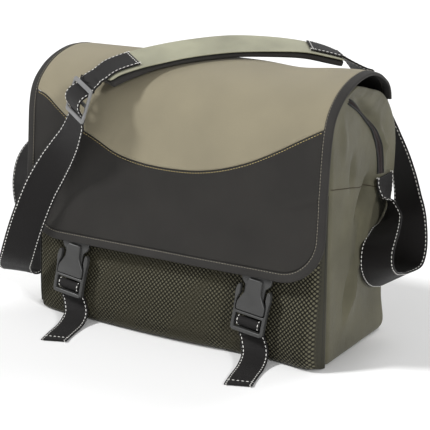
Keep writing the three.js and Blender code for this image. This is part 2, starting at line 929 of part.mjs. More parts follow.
function shoulder_pad_cover() {
  return pad_layer(0, () => pad_cover_thick, pad_width);
}

function shoulder_pad_base() {
  const thick_at = (place) => row_at(pad_rows, place)[6] * pad_base_thick;
  return pad_layer(-pad_cover_thick - loose_gap, thick_at, pad_width - 2 * loose_gap);
}

// Stations of webbing lying on the pad, between two places counted in rows of its table.
// Rows of pad_rows where the two ends of the webbing stop on the pad.
const left_end_row = 2;
const right_end_row = 7.2;
const end_spans = 4;

function on_pad(from, to, count) {
  return steps(count).map((share) => {
    const { at, across, up } = pad_frame(from + (to - from) * share);
    return { at: at.addScaledVector(up, webbing_thick / 2 + loose_gap), across };
  });
}

// Slider frame: middle, direction across and direction down.
const slider_middle = station_of([-0.545, -1.44, 0.907, 1, 0, 0]).at;
const slider_across = point(0.84, -0.5, -0.2).normalize();
const slider_down = (() => {
  const down = point(-0.13, -0.2, -0.97);
  return down.addScaledVector(slider_across, -down.dot(slider_across)).normalize();
})();
const slider_out = slider_down.clone().cross(slider_across).normalize();

function slider_point(down, out) {
  return slider_middle.clone().addScaledVector(slider_down, down).addScaledVector(slider_out, out);
}

// Left webbing from the pad down to the slider, and below the slider round the loop to the left side.

const left_above_row = [-0.489, -1.267, 0.986, 0.82, -0.55, -0.15];

// Columns: distance down and distance out from the middle of the slider, as shares of webbing_width.
const left_in_slider = [
  [-0.525, -0.13],
  [-0.412, -0.095],
  [-0.33, -0.04],
  [-0.25, 0.06],
  [-0.138, 0.15],
  [0, 0.188],
  [0.138, 0.15],
  [0.25, 0.06],
  [0.33, -0.04],
  [0.412, -0.082],
  [0.525, -0.09],
];

const left_below_rows = [
  [-0.579, -1.427, 0.814, 0.9, -0.42, -0.1],
  [-0.632, -1.427, 0.742, 0.9, -0.25, -0.3],
  [-0.742, -1.427, 0.643, 0.82, 0.15, -0.45],
  [-0.834, -1.493, 0.54, 0.74, 0.48, -0.38],
  [-0.908, -1.527, 0.435, 0.7, 0.58, -0.34],
  [-0.971, -1.527, 0.342, 0.7, 0.6, -0.33],
  [-1.045, -1.48, 0.237, 0.7, 0.6, -0.3],
  [-1.111, -1.347, 0.182, 0.72, 0.58, -0.25],
  [-1.142, -1.16, 0.145, 0.8, 0.5, -0.15],
  [-1.142, -0.947, 0.143, 0.9, 0.35, -0.05],
  [-1.137, -0.787, 0.19, 1, 0.15, 0],
  [-1.137, -0.76, 0.254, 1, 0.08, 0],
  [-1.142, -0.813, 0.344, 1, 0.05, 0],
  [-1.145, -0.893, 0.426, 1, 0, 0],
  [-1.147, -0.893, 0.509, 1, 0, 0],
  [-1.147, -0.76, 0.591, 1, 0, 0],
  [-1.142, -0.48, 0.646, 1, 0, 0],
  [-1.137, -0.16, 0.643, 1, 0.02, 0],
  [-1.126, 0.133, 0.598, 1, 0.1, 0],
  [-1.1, 0.373, 0.55, 0.92, 0.4, 0],
  [-1.063, 0.56, 0.533, 0.6, 0.8, 0],
  [-1.032, 0.64, 0.564, 0.15, 1, 0],
  [-1.021, 0.653, 0.612, 0, 1, 0],
  [-1.018, 0.653, 0.635, 0, 1, 0],
];

function shoulder_strap_left() {
  const stations = on_pad(left_end_row, 0, end_spans);
  stations.push(station_of(left_above_row));
  for (const [down, out] of scaled(doubled(left_in_slider), webbing_width)) {
    stations.push({ at: slider_point(down, out), across: slider_across });
  }
  stations.push(...doubled(left_below_rows).map(station_of));
  return band(stations, webbing_width, webbing_thick);
}

// Right webbing from the tab on the side, round its loop, up behind the bag and onto the pad.

const right_rows = [
  [1.019, 0.653, 0.635, 0, 1, 0],
  [1.021, 0.653, 0.608, 0, 1, 0],
  [1.031, 0.647, 0.567, -0.15, 1, 0],
  [1.055, 0.613, 0.526, -0.53, 0.85, 0],
  [1.084, 0.453, 0.485, -0.7, 0.72, 0],
  [1.108, 0.187, 0.45, -0.85, 0.5, 0],
  [1.121, -0.067, 0.405, -1, 0.1, 0],
  [1.121, -0.067, 0.337, -1, 0.02, -0.25],
  [1.108, 0.187, 0.275, -0.86, 0.1, -0.5],
  [1.097, 0.507, 0.241, -0.8, 0.15, -0.55],
  [1.095, 0.827, 0.227, -0.82, 0.15, -0.5],
  [1.105, 1.08, 0.261, -0.9, 0, -0.3],
  [1.105, 1.173, 0.337, -0.95, -0.2, -0.1],
  [1.095, 1.173, 0.426, -0.95, -0.2, 0],
  [1.066, 1.253, 0.509, -0.93, 0.25, 0],
  [1.024, 1.333, 0.591, -0.9, 0.4, 0],
  [0.968, 1.387, 0.67, -0.9, 0.42, 0],
  [0.904, 1.413, 0.746, -0.9, 0.4, 0.1],
  [0.84, 1.427, 0.825, -0.88, 0.4, 0.2],
  [0.79, 1.413, 0.912, -0.88, 0.38, 0.25],
  [0.714, 1.333, 0.99, -0.95, 0.25, 0.2],
];

function shoulder_strap_right() {
  const stations = doubled(right_rows).map(station_of);
  const onto = on_pad(pad_last, right_end_row, end_spans);
  const turned = onto.map(({ at, across }) => ({ at, across: across.clone().negate() }));
  stations.push(...turned);
  return band(stations, webbing_width, webbing_thick);
}

function strap_slider() {
  const half = slider_width / 2;
  const reach = slider_length / 2;
  const outline = [[-half, -reach], [half, -reach], [half, reach], [-half, reach]];
  const inner = half - slider_side;
  const edge = reach - slider_bar;
  const bar = slider_mid_bar / 2;
  const body = plate(outline, [hole(inner, bar, edge), hole(inner, -edge, -bar)],
    -slider_thick / 2, slider_thick / 2);
  return set_in(body, [slider_across, slider_down.clone().negate(), slider_out], slider_middle);
}

// Assembly

const bag = new THREE.Group();
bag.name = 'fishing_shoulder_bag';

function add(name, geometry, finish) {
  geometry.computeVertexNormals();
  const mesh = new THREE.Mesh(geometry, finish);
  mesh.name = name;
  bag.add(mesh);
}

add('main_body', main_body(), material(0x6f6c57, 0.85, 0));
add('front_pocket', front_pocket(), material(0x403c2e, 0.9, 0));
add('flap_upper', flap_upper(), material(0x928a72, 0.8, 0));
add('flap_lower', flap_lower(), material(0x383632, 0.8, 0));
add('flap_binding', flap_binding(), material(0x454341, 0.8, 0));
add('zip_chain', zip_chain(), material(0x2a2526, 0.6, 0));
add('shoulder_pad_cover', shoulder_pad_cover(), material(0xa6a68a, 0.85, 0));
add('shoulder_pad_base', shoulder_pad_base(), material(0x464442, 0.85, 0));
add('shoulder_strap_left', shoulder_strap_left(), material(0x242120, 0.8, 0));
add('shoulder_strap_right', shoulder_strap_right(), material(0x242120, 0.8, 0));
add('strap_slider', strap_slider(), material(0x777a7c, 0.45, 0));
for (const side of ['left', 'right']) {
  add(`buckle_socket_${side}`, buckle_socket(side), material(0x505050, 0.45, 0));
  add(`buckle_prong_${side}`, buckle_prong(side), material(0x505050, 0.45, 0));
  add(`flap_strap_${side}`, flap_strap(side), material(0x242120, 0.8, 0));
  add(`front_strap_${side}`, front_strap(side), material(0x242120, 0.8, 0));
}

export default bag;
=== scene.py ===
# %% [markdown]
# # A shoulder bag for fishing
# The bag is a soft box with a long flap. The solids of the bag are loaded as a fixed frame. Each cell
# dresses one part of them: its cloth, its webbing, its stitches and its plastic.

# %% Load the frame
import math

import bmesh
import bpy
import numpy as np
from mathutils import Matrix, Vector
from mathutils.bvhtree import BVHTree


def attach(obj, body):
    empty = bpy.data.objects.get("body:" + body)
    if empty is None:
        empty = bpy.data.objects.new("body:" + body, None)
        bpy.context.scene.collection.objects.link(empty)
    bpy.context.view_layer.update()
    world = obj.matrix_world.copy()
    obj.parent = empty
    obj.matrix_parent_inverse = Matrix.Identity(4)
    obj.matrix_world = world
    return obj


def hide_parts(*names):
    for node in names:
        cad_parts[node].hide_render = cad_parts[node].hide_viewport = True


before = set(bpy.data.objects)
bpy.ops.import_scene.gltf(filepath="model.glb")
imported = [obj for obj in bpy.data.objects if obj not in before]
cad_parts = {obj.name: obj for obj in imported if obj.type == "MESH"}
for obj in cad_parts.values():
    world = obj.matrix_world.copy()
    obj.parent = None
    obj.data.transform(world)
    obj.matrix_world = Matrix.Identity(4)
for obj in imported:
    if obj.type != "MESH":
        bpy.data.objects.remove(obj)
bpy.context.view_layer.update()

# %% [markdown]
# ## Sizes
# All sizes are in metres. The tables below repeat the rules of the solids, because this script can't read
# their source. A table holds shares of a named size, so that one number moves all that depends on it.

# %% Sizes of the bag
mm = 0.001
half_width = 190 * mm
half_depth = 75 * mm
body_height = 291 * mm
gap = 0.3 * mm
loose_gap = 0.6 * mm
fold_height = 6 * mm
back_belly = 5 * mm
corner_radius = 7 * mm
flap_height = 305 * mm
flap_half_width = 194.5 * mm
flap_cloth = 2.2 * mm
binding_width = 10 * mm
binding_thick = 3.6 * mm
flap_corner = 50 * mm
edge_curl = 2.5 * mm
ridge_dip = 4 * mm
ridge_dip_reach = 36 * mm
ridge_dip_place = 0.55
edge_curl_start = 0.9
flap_ripple = 0.9 * mm
ripple_over = [31 * mm, 90 * mm]
ripple_down = [52 * mm, 37 * mm]
crease_start = 140 * mm
crease_fade = 20 * mm
crease_breadth = 3.5 * mm
crease_height = 0.565
crease_slope = 0.33
pocket_swell = 18 * mm
pocket_cloth = 1.8 * mm
net_cell = 5.1 * mm
net_pitch = 2.55 * mm
net_strand = 0.65 * mm
net_foot = 3 * mm
net_lowest = 1.2 * mm
net_lift = 0.3 * mm
seam_cord_radius = 0.4 * mm
seam_cord_lift = 0.1 * mm
pocket_piping_radius = 0.9 * mm
pocket_piping_lift = 0.4 * mm
zip_width = 9 * mm
zip_top_width = 4.5 * mm
zip_tape_thick = 1.4 * mm
zip_tape_lift = 0.2 * mm
zip_piping_radius = 1.1 * mm
zip_piping_lift = 0.6 * mm
zip_piping_away = 0.4 * mm
tooth_spacing = 1.5 * mm
tooth_length = 1 * mm
tooth_breadth = 3.4 * mm
tooth_height = 1.2 * mm
tooth_lift = 1.1 * mm
webbing_width = 40 * mm
webbing_thick = 2 * mm
pad_width = 50 * mm
pad_cover_thick = 2.2 * mm
pad_base_thick = 6 * mm
slider_width = 49 * mm
slider_length = 40 * mm
slider_bar = 5 * mm
slider_mid_bar = 4 * mm
slider_side = 3.8 * mm
slider_thick = 3 * mm
belt_width = 30 * mm
belt_thick = 1.6 * mm
tail_rest = 1.3 * mm
buckle_drop = 30.5 * mm
buckle_stand_off = 8.15 * mm
buckle_thick = 3.4 * mm
plate_thick = 3.6 * mm
frame_back = 2.2 * mm
frame_front = 4.2 * mm
stitch_length = 3.5 * mm
stitch_spacing = 4.6 * mm
stitch_thick = 1.15 * mm
flap_stitch_length = 2.4 * mm
flap_stitch_spacing = 3.4 * mm
gold_thread_thick = 0.8 * mm
grey_thread_thick = 0.65 * mm
seam_stitch_drop = 2.2 * mm
binding_stitch_inset = 1.2 * mm
strap_stitch_inset = 2.2 * mm
belt_stitch_inset = 2.4 * mm
tail_stitch_inset = 10 * mm

# %% [markdown]
# ## The camera, the light and the floor
# The camera stands where the photographer's did: to the right of the bag and a little above it, far enough
# away for almost parallel edges. Soft lamps and a bright surround give the flat, even light of a catalogue
# picture.

# %% Camera
camera_turn = math.radians(31.83)
camera_rise = math.radians(16.02)
camera_away = 1.53657
camera_aim = Vector((0.00497, 0, 0.12285))
camera_lens = 111.88
camera_sensor = 36
camera_sight = 50

scene = bpy.context.scene
camera = bpy.data.objects.new("camera", bpy.data.cameras.new("camera"))
scene.collection.objects.link(camera)
away = Vector((math.sin(camera_turn) * math.cos(camera_rise),
               -math.cos(camera_turn) * math.cos(camera_rise),
               math.sin(camera_rise)))
camera.location = camera_aim + away * camera_away
camera.rotation_euler = away.to_track_quat("Z", "Y").to_euler()
camera.data.lens = camera_lens
camera.data.sensor_width = camera_sensor
camera.data.clip_end = camera_sight
scene.camera = camera
print("camera at", tuple(round(v, 3) for v in camera.location))


# %% Lamps, surround and floor
def lamp(name, towards, strength, softness):
    """A far, soft lamp; softness is how wide it looks, in degrees."""
    data = bpy.data.lights.new(name, "SUN")
    data.energy = strength
    data.angle = math.radians(softness)
    made = bpy.data.objects.new(name, data)
    scene.collection.objects.link(made)
    made.rotation_euler = Vector(towards).to_track_quat("Z", "Y").to_euler()


lamp("key_lamp", (-0.7, -0.55, 0.85), 2.5, 9)
lamp("side_lamp", (1.2, -0.65, 0.6), 1.4, 10)
lamp("back_lamp", (0.2, 1.2, 1.3), 1, 30)

surround_strength = 0.38
world = bpy.data.worlds.new("pale_surround")
world.use_nodes = True
world.node_tree.nodes["Background"].inputs["Color"].default_value = (1, 1, 1, 1)
world.node_tree.nodes["Background"].inputs["Strength"].default_value = surround_strength
scene.world = world
scene.view_settings.view_transform = "Standard"

floor_reach = 6
floor_mesh = bpy.data.meshes.new("floor")
floor_corners = [(-1, -1, 0), (1, -1, 0), (1, 1, 0), (-1, 1, 0)]
floor_points = [[v * floor_reach for v in corner] for corner in floor_corners]
floor_mesh.from_pydata(floor_points, [], [(0, 1, 2, 3)])
floor = bpy.data.objects.new("floor", floor_mesh)
scene.collection.objects.link(floor)

# %% [markdown]
# ## A small language for materials
# A material in Blender is a graph of nodes. The first class below wraps one output of the graph, so that
# shader maths can be written as plain expressions. The second adds any other node from its type, settings
# and sockets.


# %% Shader maths as expressions
class Wire:
    """One output of a material's graph, which takes part in expressions."""

    def __init__(self, finish, socket):
        self.finish = finish
        self.socket = socket

    def maths(self, operation, *values):
        return self.finish.node("ShaderNodeMath", {"operation": operation}, dict(enumerate(values)))

    def __add__(self, other):
        return self.maths("ADD", self, other)

    def __sub__(self, other):
        return self.maths("SUBTRACT", self, other)

    def __mul__(self, other):
        return self.maths("MULTIPLY", self, other)

    def wave(self):
        return self.maths("SINE", self)

    def clear_sign(self):
        return self.maths("ABSOLUTE", self)


class Finish:
    """A material under construction."""

    def __init__(self, name, roughness, sheen=0, metallic=0, coat=0, specular=0.5):
        self.material = bpy.data.materials.new(name)
        self.material.use_nodes = True
        self.nodes = self.material.node_tree.nodes
        self.links = self.material.node_tree.links
        self.shader = self.nodes["Principled BSDF"]
        self.set("Roughness", roughness)
        self.set("Metallic", metallic)
        self.set("Sheen Weight", sheen)
        self.set("Coat Weight", coat)
        self.set("Specular IOR Level", specular)

    def set(self, name, value):
        socket = self.shader.inputs[name]
        if isinstance(value, Wire):
            self.links.new(value.socket, socket)
        else:
            socket.default_value = value

    def node(self, kind, settings=None, sockets=None, output=0):
        made = self.nodes.new(kind)
        for name, value in (settings or {}).items():
            setattr(made, name, value)
        for name, value in (sockets or {}).items():
            if isinstance(value, Wire):
                self.links.new(value.socket, made.inputs[name])
            else:
                made.inputs[name].default_value = value
        return Wire(self, made.outputs[output])

    def uv(self):
        """The piece's own map, in metres along and across the cloth: the place, along, across."""
        place = self.node("ShaderNodeTexCoord", output="UV")
        return place, *self.split(place)[:2]

    def split(self, place):
        apart = self.node("ShaderNodeSeparateXYZ", None, {0: place}).socket.node
        return [Wire(self, socket) for socket in apart.outputs]

    def place(self):
        """The place in the object's own space, in metres."""
        return self.node("ShaderNodeTexCoord", output="Object")

    def noise(self, place, scale, detail=3, stretch=(1, 1, 1)):
        moved = self.node("ShaderNodeMapping", None, {"Vector": place, "Scale": stretch})
        return self.node("ShaderNodeTexNoise", None, {"Vector": moved, "Scale": scale, "Detail": detail})

    def mix(self, share, low, high, blend="MIX"):
        """Mixes two colours; a plain colour is given as three numbers."""
        colours = [(*c, 1) if isinstance(c, tuple) else c for c in (low, high)]
        return self.node("ShaderNodeMix", {"data_type": "RGBA", "blend_type": blend},
                         {0: share, 6: colours[0], 7: colours[1]}, 2)

    def spread(self, value, low, high):
        """Stretches the values from low to high over 0 to 1."""
        return self.node("ShaderNodeMapRange", None, {"Value": value, "From Min": low, "From Max": high})

    def bump(self, height, distance, strength=1.0):
        self.set("Normal", self.node("ShaderNodeBump", None,
                                     {"Height": height, "Distance": distance, "Strength": strength}))


# %% [markdown]
# ## The floor's finish
# A pale floor with a trace of unevenness catches the bag's soft shadow and nothing more.

# %% Floor finish
floor_finish = Finish("pale_floor", 0.9, specular=0.1)
floor_cloud = floor_finish.noise(floor_finish.place(), 2, 2)
floor_finish.set("Base Color", floor_finish.mix(floor_cloud, (0.9, 0.9, 0.9), (0.93, 0.93, 0.93)))
floor_mesh.materials.append(floor_finish.material)

# %% [markdown]
# ## Cloth and plastic finishes
# Woven cloth is a crossing of two waves: threads along and threads across. On each cloth a slow noise
# changes the colour a little, as dye and handling do, and a fine bump gives the threads. The scale of the
# weave is in metres, so it is right on every piece.


# %% Cloth finishes
def tint(colour, share):
    return tuple(min(v * share, 1) for v in colour)


def weave_of(finish, along, across, period):
    """Plain weave: a checker of threads, 0 to 1."""
    turn = math.pi / period
    warp = (along * turn).wave()
    weft = (across * turn).wave()
    return (warp * weft).clear_sign()


def cloth_finish(name, colour, period, roughness, sheen, shade=0.8, bump=0.12, cloud=16, on_uv=True,
                 crumple=0.0):
    """Woven cloth; bump and crumple are the heights of threads and of soft creases, in millimetres."""
    finish = Finish(name, roughness, sheen=sheen, specular=0.2)
    finish.set("Sheen Roughness", 0.5)
    if on_uv:
        place, along, across = finish.uv()
    else:
        place = finish.place()
        east, north, across = finish.split(place)
        along = east + north
    weave = weave_of(finish, along, across, period)
    slow = finish.spread(finish.noise(place, cloud, 4), 0.35, 0.65)
    fine = finish.noise(place, 900, 2)
    tinted = finish.mix(slow, tint(colour, shade), tint(colour, 2 - shade))
    finish.set("Base Color", finish.mix(weave * 0.3 + fine * 0.3, tinted, tint(colour, 0.55)))
    finish.set("Roughness", slow * 0.1 + (roughness - 0.05))
    creases = finish.noise(place, 22, 3, stretch=(1, 0.6, 1))
    finish.bump(weave * (bump * mm) + fine * (bump * mm * 0.4) + creases * (crumple * mm), 1)
    return finish.material


def thread_finish_of(name, colour):
    return cloth_finish(name, colour, 0.3 * mm, 0.6, 0.1, shade=1, bump=0, on_uv=False)


body_finish = cloth_finish("olive_body_cloth", (0.115, 0.108, 0.07), 0.7 * mm, 0.55, 0.1, crumple=5)
khaki_finish = cloth_finish("khaki_flap_cloth", (0.3, 0.265, 0.18), 0.5 * mm, 0.55, 0.1, shade=0.93,
                            crumple=1)
charcoal_finish = cloth_finish("charcoal_flap_cloth", (0.024, 0.022, 0.0195), 0.5 * mm, 0.55, 0.03,
                               crumple=1)
binding_finish = cloth_finish("dark_binding_tape", (0.03, 0.028, 0.026), 0.9 * mm, 0.7, 0.03)
# Painted shade: the backs of the flap's panels are near black, standing for the shadow under the flap.
painted_shade_underside_finish = cloth_finish("flap_underside_painted_shade", (0.01, 0.0095, 0.009), 0.6 * mm, 0.7, 0.02)
pad_finish = cloth_finish("sage_pad_cloth", (0.34, 0.335, 0.24), 0.6 * mm, 0.6, 0.1, crumple=1)
pad_base_finish = cloth_finish("dark_pad_cloth", (0.035, 0.033, 0.031), 0.7 * mm, 0.7, 0.05)
zip_finish = cloth_finish("brown_zip_tape", (0.026, 0.02, 0.02), 0.7 * mm, 0.6, 0.02)
thread_finish = thread_finish_of("white_thread", (0.88, 0.87, 0.83))
gold_finish = thread_finish_of("golden_thread", (0.6, 0.47, 0.2))
grey_thread_finish = thread_finish_of("grey_thread", (0.34, 0.31, 0.24))
seam_finish = cloth_finish("brown_seam_thread", (0.045, 0.03, 0.018), 0.5 * mm, 0.7, 0, on_uv=False)
piping_finish = cloth_finish("dark_piping_cord", (0.01, 0.011, 0.0105), 0.7 * mm, 0.65, 0.1, on_uv=False)
coil_finish = cloth_finish("brown_zip_coil", (0.05, 0.036, 0.034), 0.3 * mm, 0.4, 0, on_uv=False)


# %% [markdown]
# Webbing is a broad ribbed tape: fine ribs run across it, and broader cords run along it.

# %% Webbing finish
def webbing_finish_of(name, colour, rib):
    """Ribbed tape; rib is the width of one rib."""
    finish = Finish(name, 0.55, sheen=0.04, specular=0.2)
    place, along, across = finish.uv()
    ribs = (along * (math.pi / rib)).wave().clear_sign()
    cords = (across * (math.pi / (rib * 1.6))).wave().clear_sign()
    fine = finish.noise(place, 1200, 2)
    slow = finish.spread(finish.noise(place, 30, 3), 0.3, 0.7)
    tinted = finish.mix(slow, tint(colour, 0.75), tint(colour, 1.25))
    finish.set("Base Color", finish.mix(ribs * 0.45 + fine * 0.2, tint(colour, 0.5), tinted))
    finish.set("Roughness", slow * 0.12 + 0.5)
    finish.bump(ribs * 0.8 + cords * 0.5 + fine * 0.3, 0.2 * mm)
    return finish.material


webbing_finish = webbing_finish_of("black_webbing", (0.0095, 0.0082, 0.008), 0.9 * mm)


# %% [markdown]
# The pocket is a black net over a dark lining. Light catches the lining in the middle of each cell of the
# net, so its colour has a soft spot there. The spots are two crossed waves with the width and pitch of the
# net.

# %% Net and the lining behind it
def painted_light_patches(finish):
    """Patches of painted light on the pocket: where the net shows clearly, slanting patches, more of them to
    the right.
    """
    over, _, up = finish.split(finish.place())
    turned = finish.node("ShaderNodeCombineXYZ", None, {"X": over - up * 0.8, "Y": (up + over * 0.5) * 0.35})
    patches = finish.spread(finish.noise(turned, 26, 2), 0.42, 0.54) * 0.75
    return over, up, patches + finish.spread(over, 0.5 * half_width, 0.75 * half_width)


def lining_finish():
    finish = Finish("pocket_lining_cloth", 0.7, sheen=0.1, specular=0.3)
    over, up, patches = painted_light_patches(finish)
    over_wave = (over * (2 * math.pi / net_cell) - math.pi / 2).wave()
    up_wave = ((up - net_foot) * (math.pi / net_pitch)).wave()
    inside = finish.spread(over.clear_sign(), 0.978 * half_width, 0.966 * half_width)
    spots = finish.spread(over_wave * up_wave, -0.1, 0.6) * inside
    lit = finish.mix(spots, (0.025, 0.023, 0.013), (0.125, 0.117, 0.073))
    # Painted light: inside the patches the lining takes its painted lit spots; outside them it stays dark.
    finish.set("Base Color", finish.mix(patches, (0.055, 0.05, 0.03), lit))
    finish.bump(finish.noise(finish.place(), 700, 2), 0.1 * mm)
    return finish.material


def net_thread_finish():
    finish = Finish("black_net_thread", 0.6, specular=0.2)
    over, up, patches = painted_light_patches(finish)
    # Painted light and shade: the thread is lighter outside the patches and darker inside them, against the
    # lit lining.
    finish.set("Base Color", finish.mix(patches, (0.045, 0.041, 0.024), (0.01, 0.009, 0.006)))
    finish.bump(finish.noise(finish.place(), 2000, 2), 0.05 * mm)
    return finish.material


net_finish = net_thread_finish()
pocket_finish = lining_finish()


# %% [markdown]
# Moulded plastic is smooth with a satin skin. A very fine grain from the mould and a few soft scuffs keep it
# from looking like glass.

# %% Plastic finishes
def plastic_finish(name, colour, roughness):
    finish = Finish(name, roughness, specular=0.5)
    place = finish.place()
    slow = finish.spread(finish.noise(place, 60, 3), 0.3, 0.7)
    grain = finish.noise(place, 2500, 2)
    finish.set("Base Color", finish.mix(slow, tint(colour, 0.88), tint(colour, 1.1)))
    finish.set("Roughness", slow * 0.12 + (roughness - 0.06))
    finish.bump(grain, 0.02 * mm)
    return finish.material


buckle_finish = plastic_finish("dark_buckle_plastic", (0.042, 0.042, 0.041), 0.38)
slider_finish = plastic_finish("grey_slider_plastic", (0.2, 0.2, 0.2), 0.35)
print("materials:", len(bpy.data.materials))

# %% [markdown]
# ## Smooth tables
# The shapes come from short tables. A curve runs through the rows, so a few rows give as many points as a
# piece needs.


# %% Curves through tables
def row_at(rows, position):
    """Rows of a table at fractional places, on a smooth curve through the rows."""
    rows = np.asarray(rows, float)
    last = len(rows) - 1
    position = np.atleast_1d(position).astype(float)
    i = np.minimum(position.astype(int), last - 1)
    t = (position - i)[:, None]
    before, start = rows[np.maximum(i - 1, 0)], rows[i]
    end, after = rows[i + 1], rows[np.minimum(i + 2, last)]
    turn_in, turn_out = (end - before) / 2, (after - start) / 2
    return (start + turn_in * t + (3 * (end - start) - 2 * turn_in - turn_out) * t ** 2
            + (2 * (start - end) + turn_in + turn_out) * t ** 3)


def finer(rows, per_row):
    """The rows of a table with more between them, on the same smooth curve."""
    return row_at(rows, np.linspace(0, len(rows) - 1, (len(rows) - 1) * per_row + 1))


def look_up(rows, value):
    """The other columns of a table at values of its first column, on a smooth curve."""
    rows = np.asarray(rows, float)
    keys, columns = rows[:, 0], rows[:, 1:]
    slopes = np.gradient(columns, keys, axis=0)
    value = np.atleast_1d(value).astype(float)
    i = np.clip(np.searchsorted(keys, value) - 1, 0, len(keys) - 2)
    step = (keys[i + 1] - keys[i])[:, None]
    t = np.clip((value - keys[i])[:, None] / step, 0, 1)
    start, end = columns[i], columns[i + 1]
    return (start * (2 * t ** 3 - 3 * t ** 2 + 1) + end * (3 * t ** 2 - 2 * t ** 3)
            + slopes[i] * step * (t ** 3 - 2 * t ** 2 + t) + slopes[i + 1] * step * (t ** 3 - t ** 2))


def unit(vectors):
    return vectors / np.linalg.norm(vectors, axis=-1, keepdims=True)


# %% [markdown]
# ## Meshes from grids
# Most pieces are grids of points. A closed grid joins its last column to its first. Each point carries its
# own place on the flat cloth, in metres, which becomes the UV map that the weave and the ribs follow.


# %% Grid meshes
def piece(name, points, faces, finish, corners_uv=None, smooth=True):
    mesh = bpy.data.meshes.new(name)
    mesh.from_pydata([tuple(p) for p in points], [], faces)
    if corners_uv is not None:
        layer = mesh.uv_layers.new(name="cloth_map")
        index = np.zeros(len(mesh.loops), int)
        mesh.loops.foreach_get("vertex_index", index)
        layer.data.foreach_set("uv", np.asarray(corners_uv, float)[index].ravel())
    mesh.polygons.foreach_set("use_smooth", [smooth] * len(mesh.polygons))
    mesh.materials.append(finish)
    made = bpy.data.objects.new(name, mesh)
    scene.collection.objects.link(made)
    return made


def outward(made, weld=0):
    """Joins points closer than weld, and turns the faces of a closed mesh outwards."""
    work = bmesh.new()
    work.from_mesh(made.data)
    if weld:
        bmesh.ops.remove_doubles(work, verts=work.verts, dist=weld)
    bmesh.ops.recalc_face_normals(work, faces=work.faces)
    work.to_mesh(made.data)
    work.free()
    return made


def grid_faces(rows, columns, closed, start=0):
    faces = []
    for r in range(rows - 1):
        for c in range(columns if closed else columns - 1):
            a = start + r * columns + c
            b = start + r * columns + (c + 1) % columns
            faces.append((a, b, b + columns, a + columns))
    return faces


def tube(name, rings, over, up, finish):
    """A closed skin over rings, flat at both ends; over and up are the places of the points on the cloth."""
    rows, columns = rings.shape[:2]
    maps = np.stack([np.broadcast_to(over, (rows, columns)), np.broadcast_to(up, (rows, columns))], axis=2)
    faces = grid_faces(rows, columns, True)
    faces.append(tuple(range(columns))[::-1])
    faces.append(tuple(range((rows - 1) * columns, rows * columns)))
    return outward(piece(name, rings.reshape(-1, 3), faces, finish, maps.reshape(-1, 2)))


def sheet_normals(grid):
    across = np.gradient(grid, axis=1)
    along = np.gradient(grid, axis=0)
    return unit(np.cross(across, along))


def cloth_sheet(name, grid, maps, thick, finish, lining=None):
    """A sheet of even thickness round a grid of points; lining is the finish of its back, which on the flap
    is a near-black painted shade.
    """
    rows, columns = grid.shape[:2]
    normals = sheet_normals(grid)
    front = (grid + normals * thick / 2).reshape(-1, 3)
    back = (grid - normals * thick / 2).reshape(-1, 3)
    total = rows * columns
    faces = grid_faces(rows, columns, False)
    faces += [tuple(total + i for i in face[::-1]) for face in grid_faces(rows, columns, False)]
    rim = list(range(columns)) + [r * columns + columns - 1 for r in range(1, rows)]
    rim += [(rows - 1) * columns + c for c in range(columns - 2, -1, -1)]
    rim += [r * columns for r in range(rows - 2, 0, -1)]
    for a, b in zip(rim, rim[1:] + rim[:1]):
        faces.append((b, a, total + a, total + b))
    flat = np.asarray(maps).reshape(-1, 2)
    made = outward(piece(name, np.vstack([front, back]), faces, finish, np.vstack([flat, flat])))
    if lining:
        made.data.materials.append(lining)
        for face in made.data.polygons[(rows - 1) * (columns - 1):2 * (rows - 1) * (columns - 1)]:
            face.material_index = 1
    return made


def finish_piece(made, replaced=()):
    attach(made, "root")
    if replaced:
        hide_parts(*replaced)
    print(made.name, "faces:", len(made.data.polygons))
    return made


# %% [markdown]
# ## Rows of stitches and strands of net
# Whatever repeats along a line is made by Geometry Nodes. A mesh of bare edges carries the lines, and each
# of its points knows which way is up from the cloth. One tree sets a small bead every few millimetres along
# the lines, which serves for stitches and for the teeth of the zip. Another turns each line into a thin
# strand.

# %% Node trees
class Tree:
    """A Geometry Nodes tree under construction, with named inputs."""

    def __init__(self, name, inputs):
        self.group = bpy.data.node_groups.new(name, "GeometryNodeTree")
        sockets = self.group.interface
        sockets.new_socket("Geometry", in_out="INPUT", socket_type="NodeSocketGeometry")
        for title, kind in inputs.items():
            sockets.new_socket(title, in_out="INPUT", socket_type=kind)
        sockets.new_socket("Geometry", in_out="OUTPUT", socket_type="NodeSocketGeometry")
        self.start = self.group.nodes.new("NodeGroupInput").outputs

    def node(self, kind, settings=None, sockets=None, output=0):
        made = self.group.nodes.new(kind)
        for name, value in (settings or {}).items():
            setattr(made, name, value)
        for name, value in (sockets or {}).items():
            if isinstance(value, bpy.types.NodeSocket):
                self.group.links.new(value, made.inputs[name])
            else:
                made.inputs[name].default_value = value
        return made.outputs[output] if made.outputs else None

    def finish(self, geometry):
        dressed = self.node("GeometryNodeSetMaterial", None,
                            {"Geometry": geometry, "Material": self.start["Thread"]})
        self.node("NodeGroupOutput", None, {"Geometry": dressed})
        return self.group


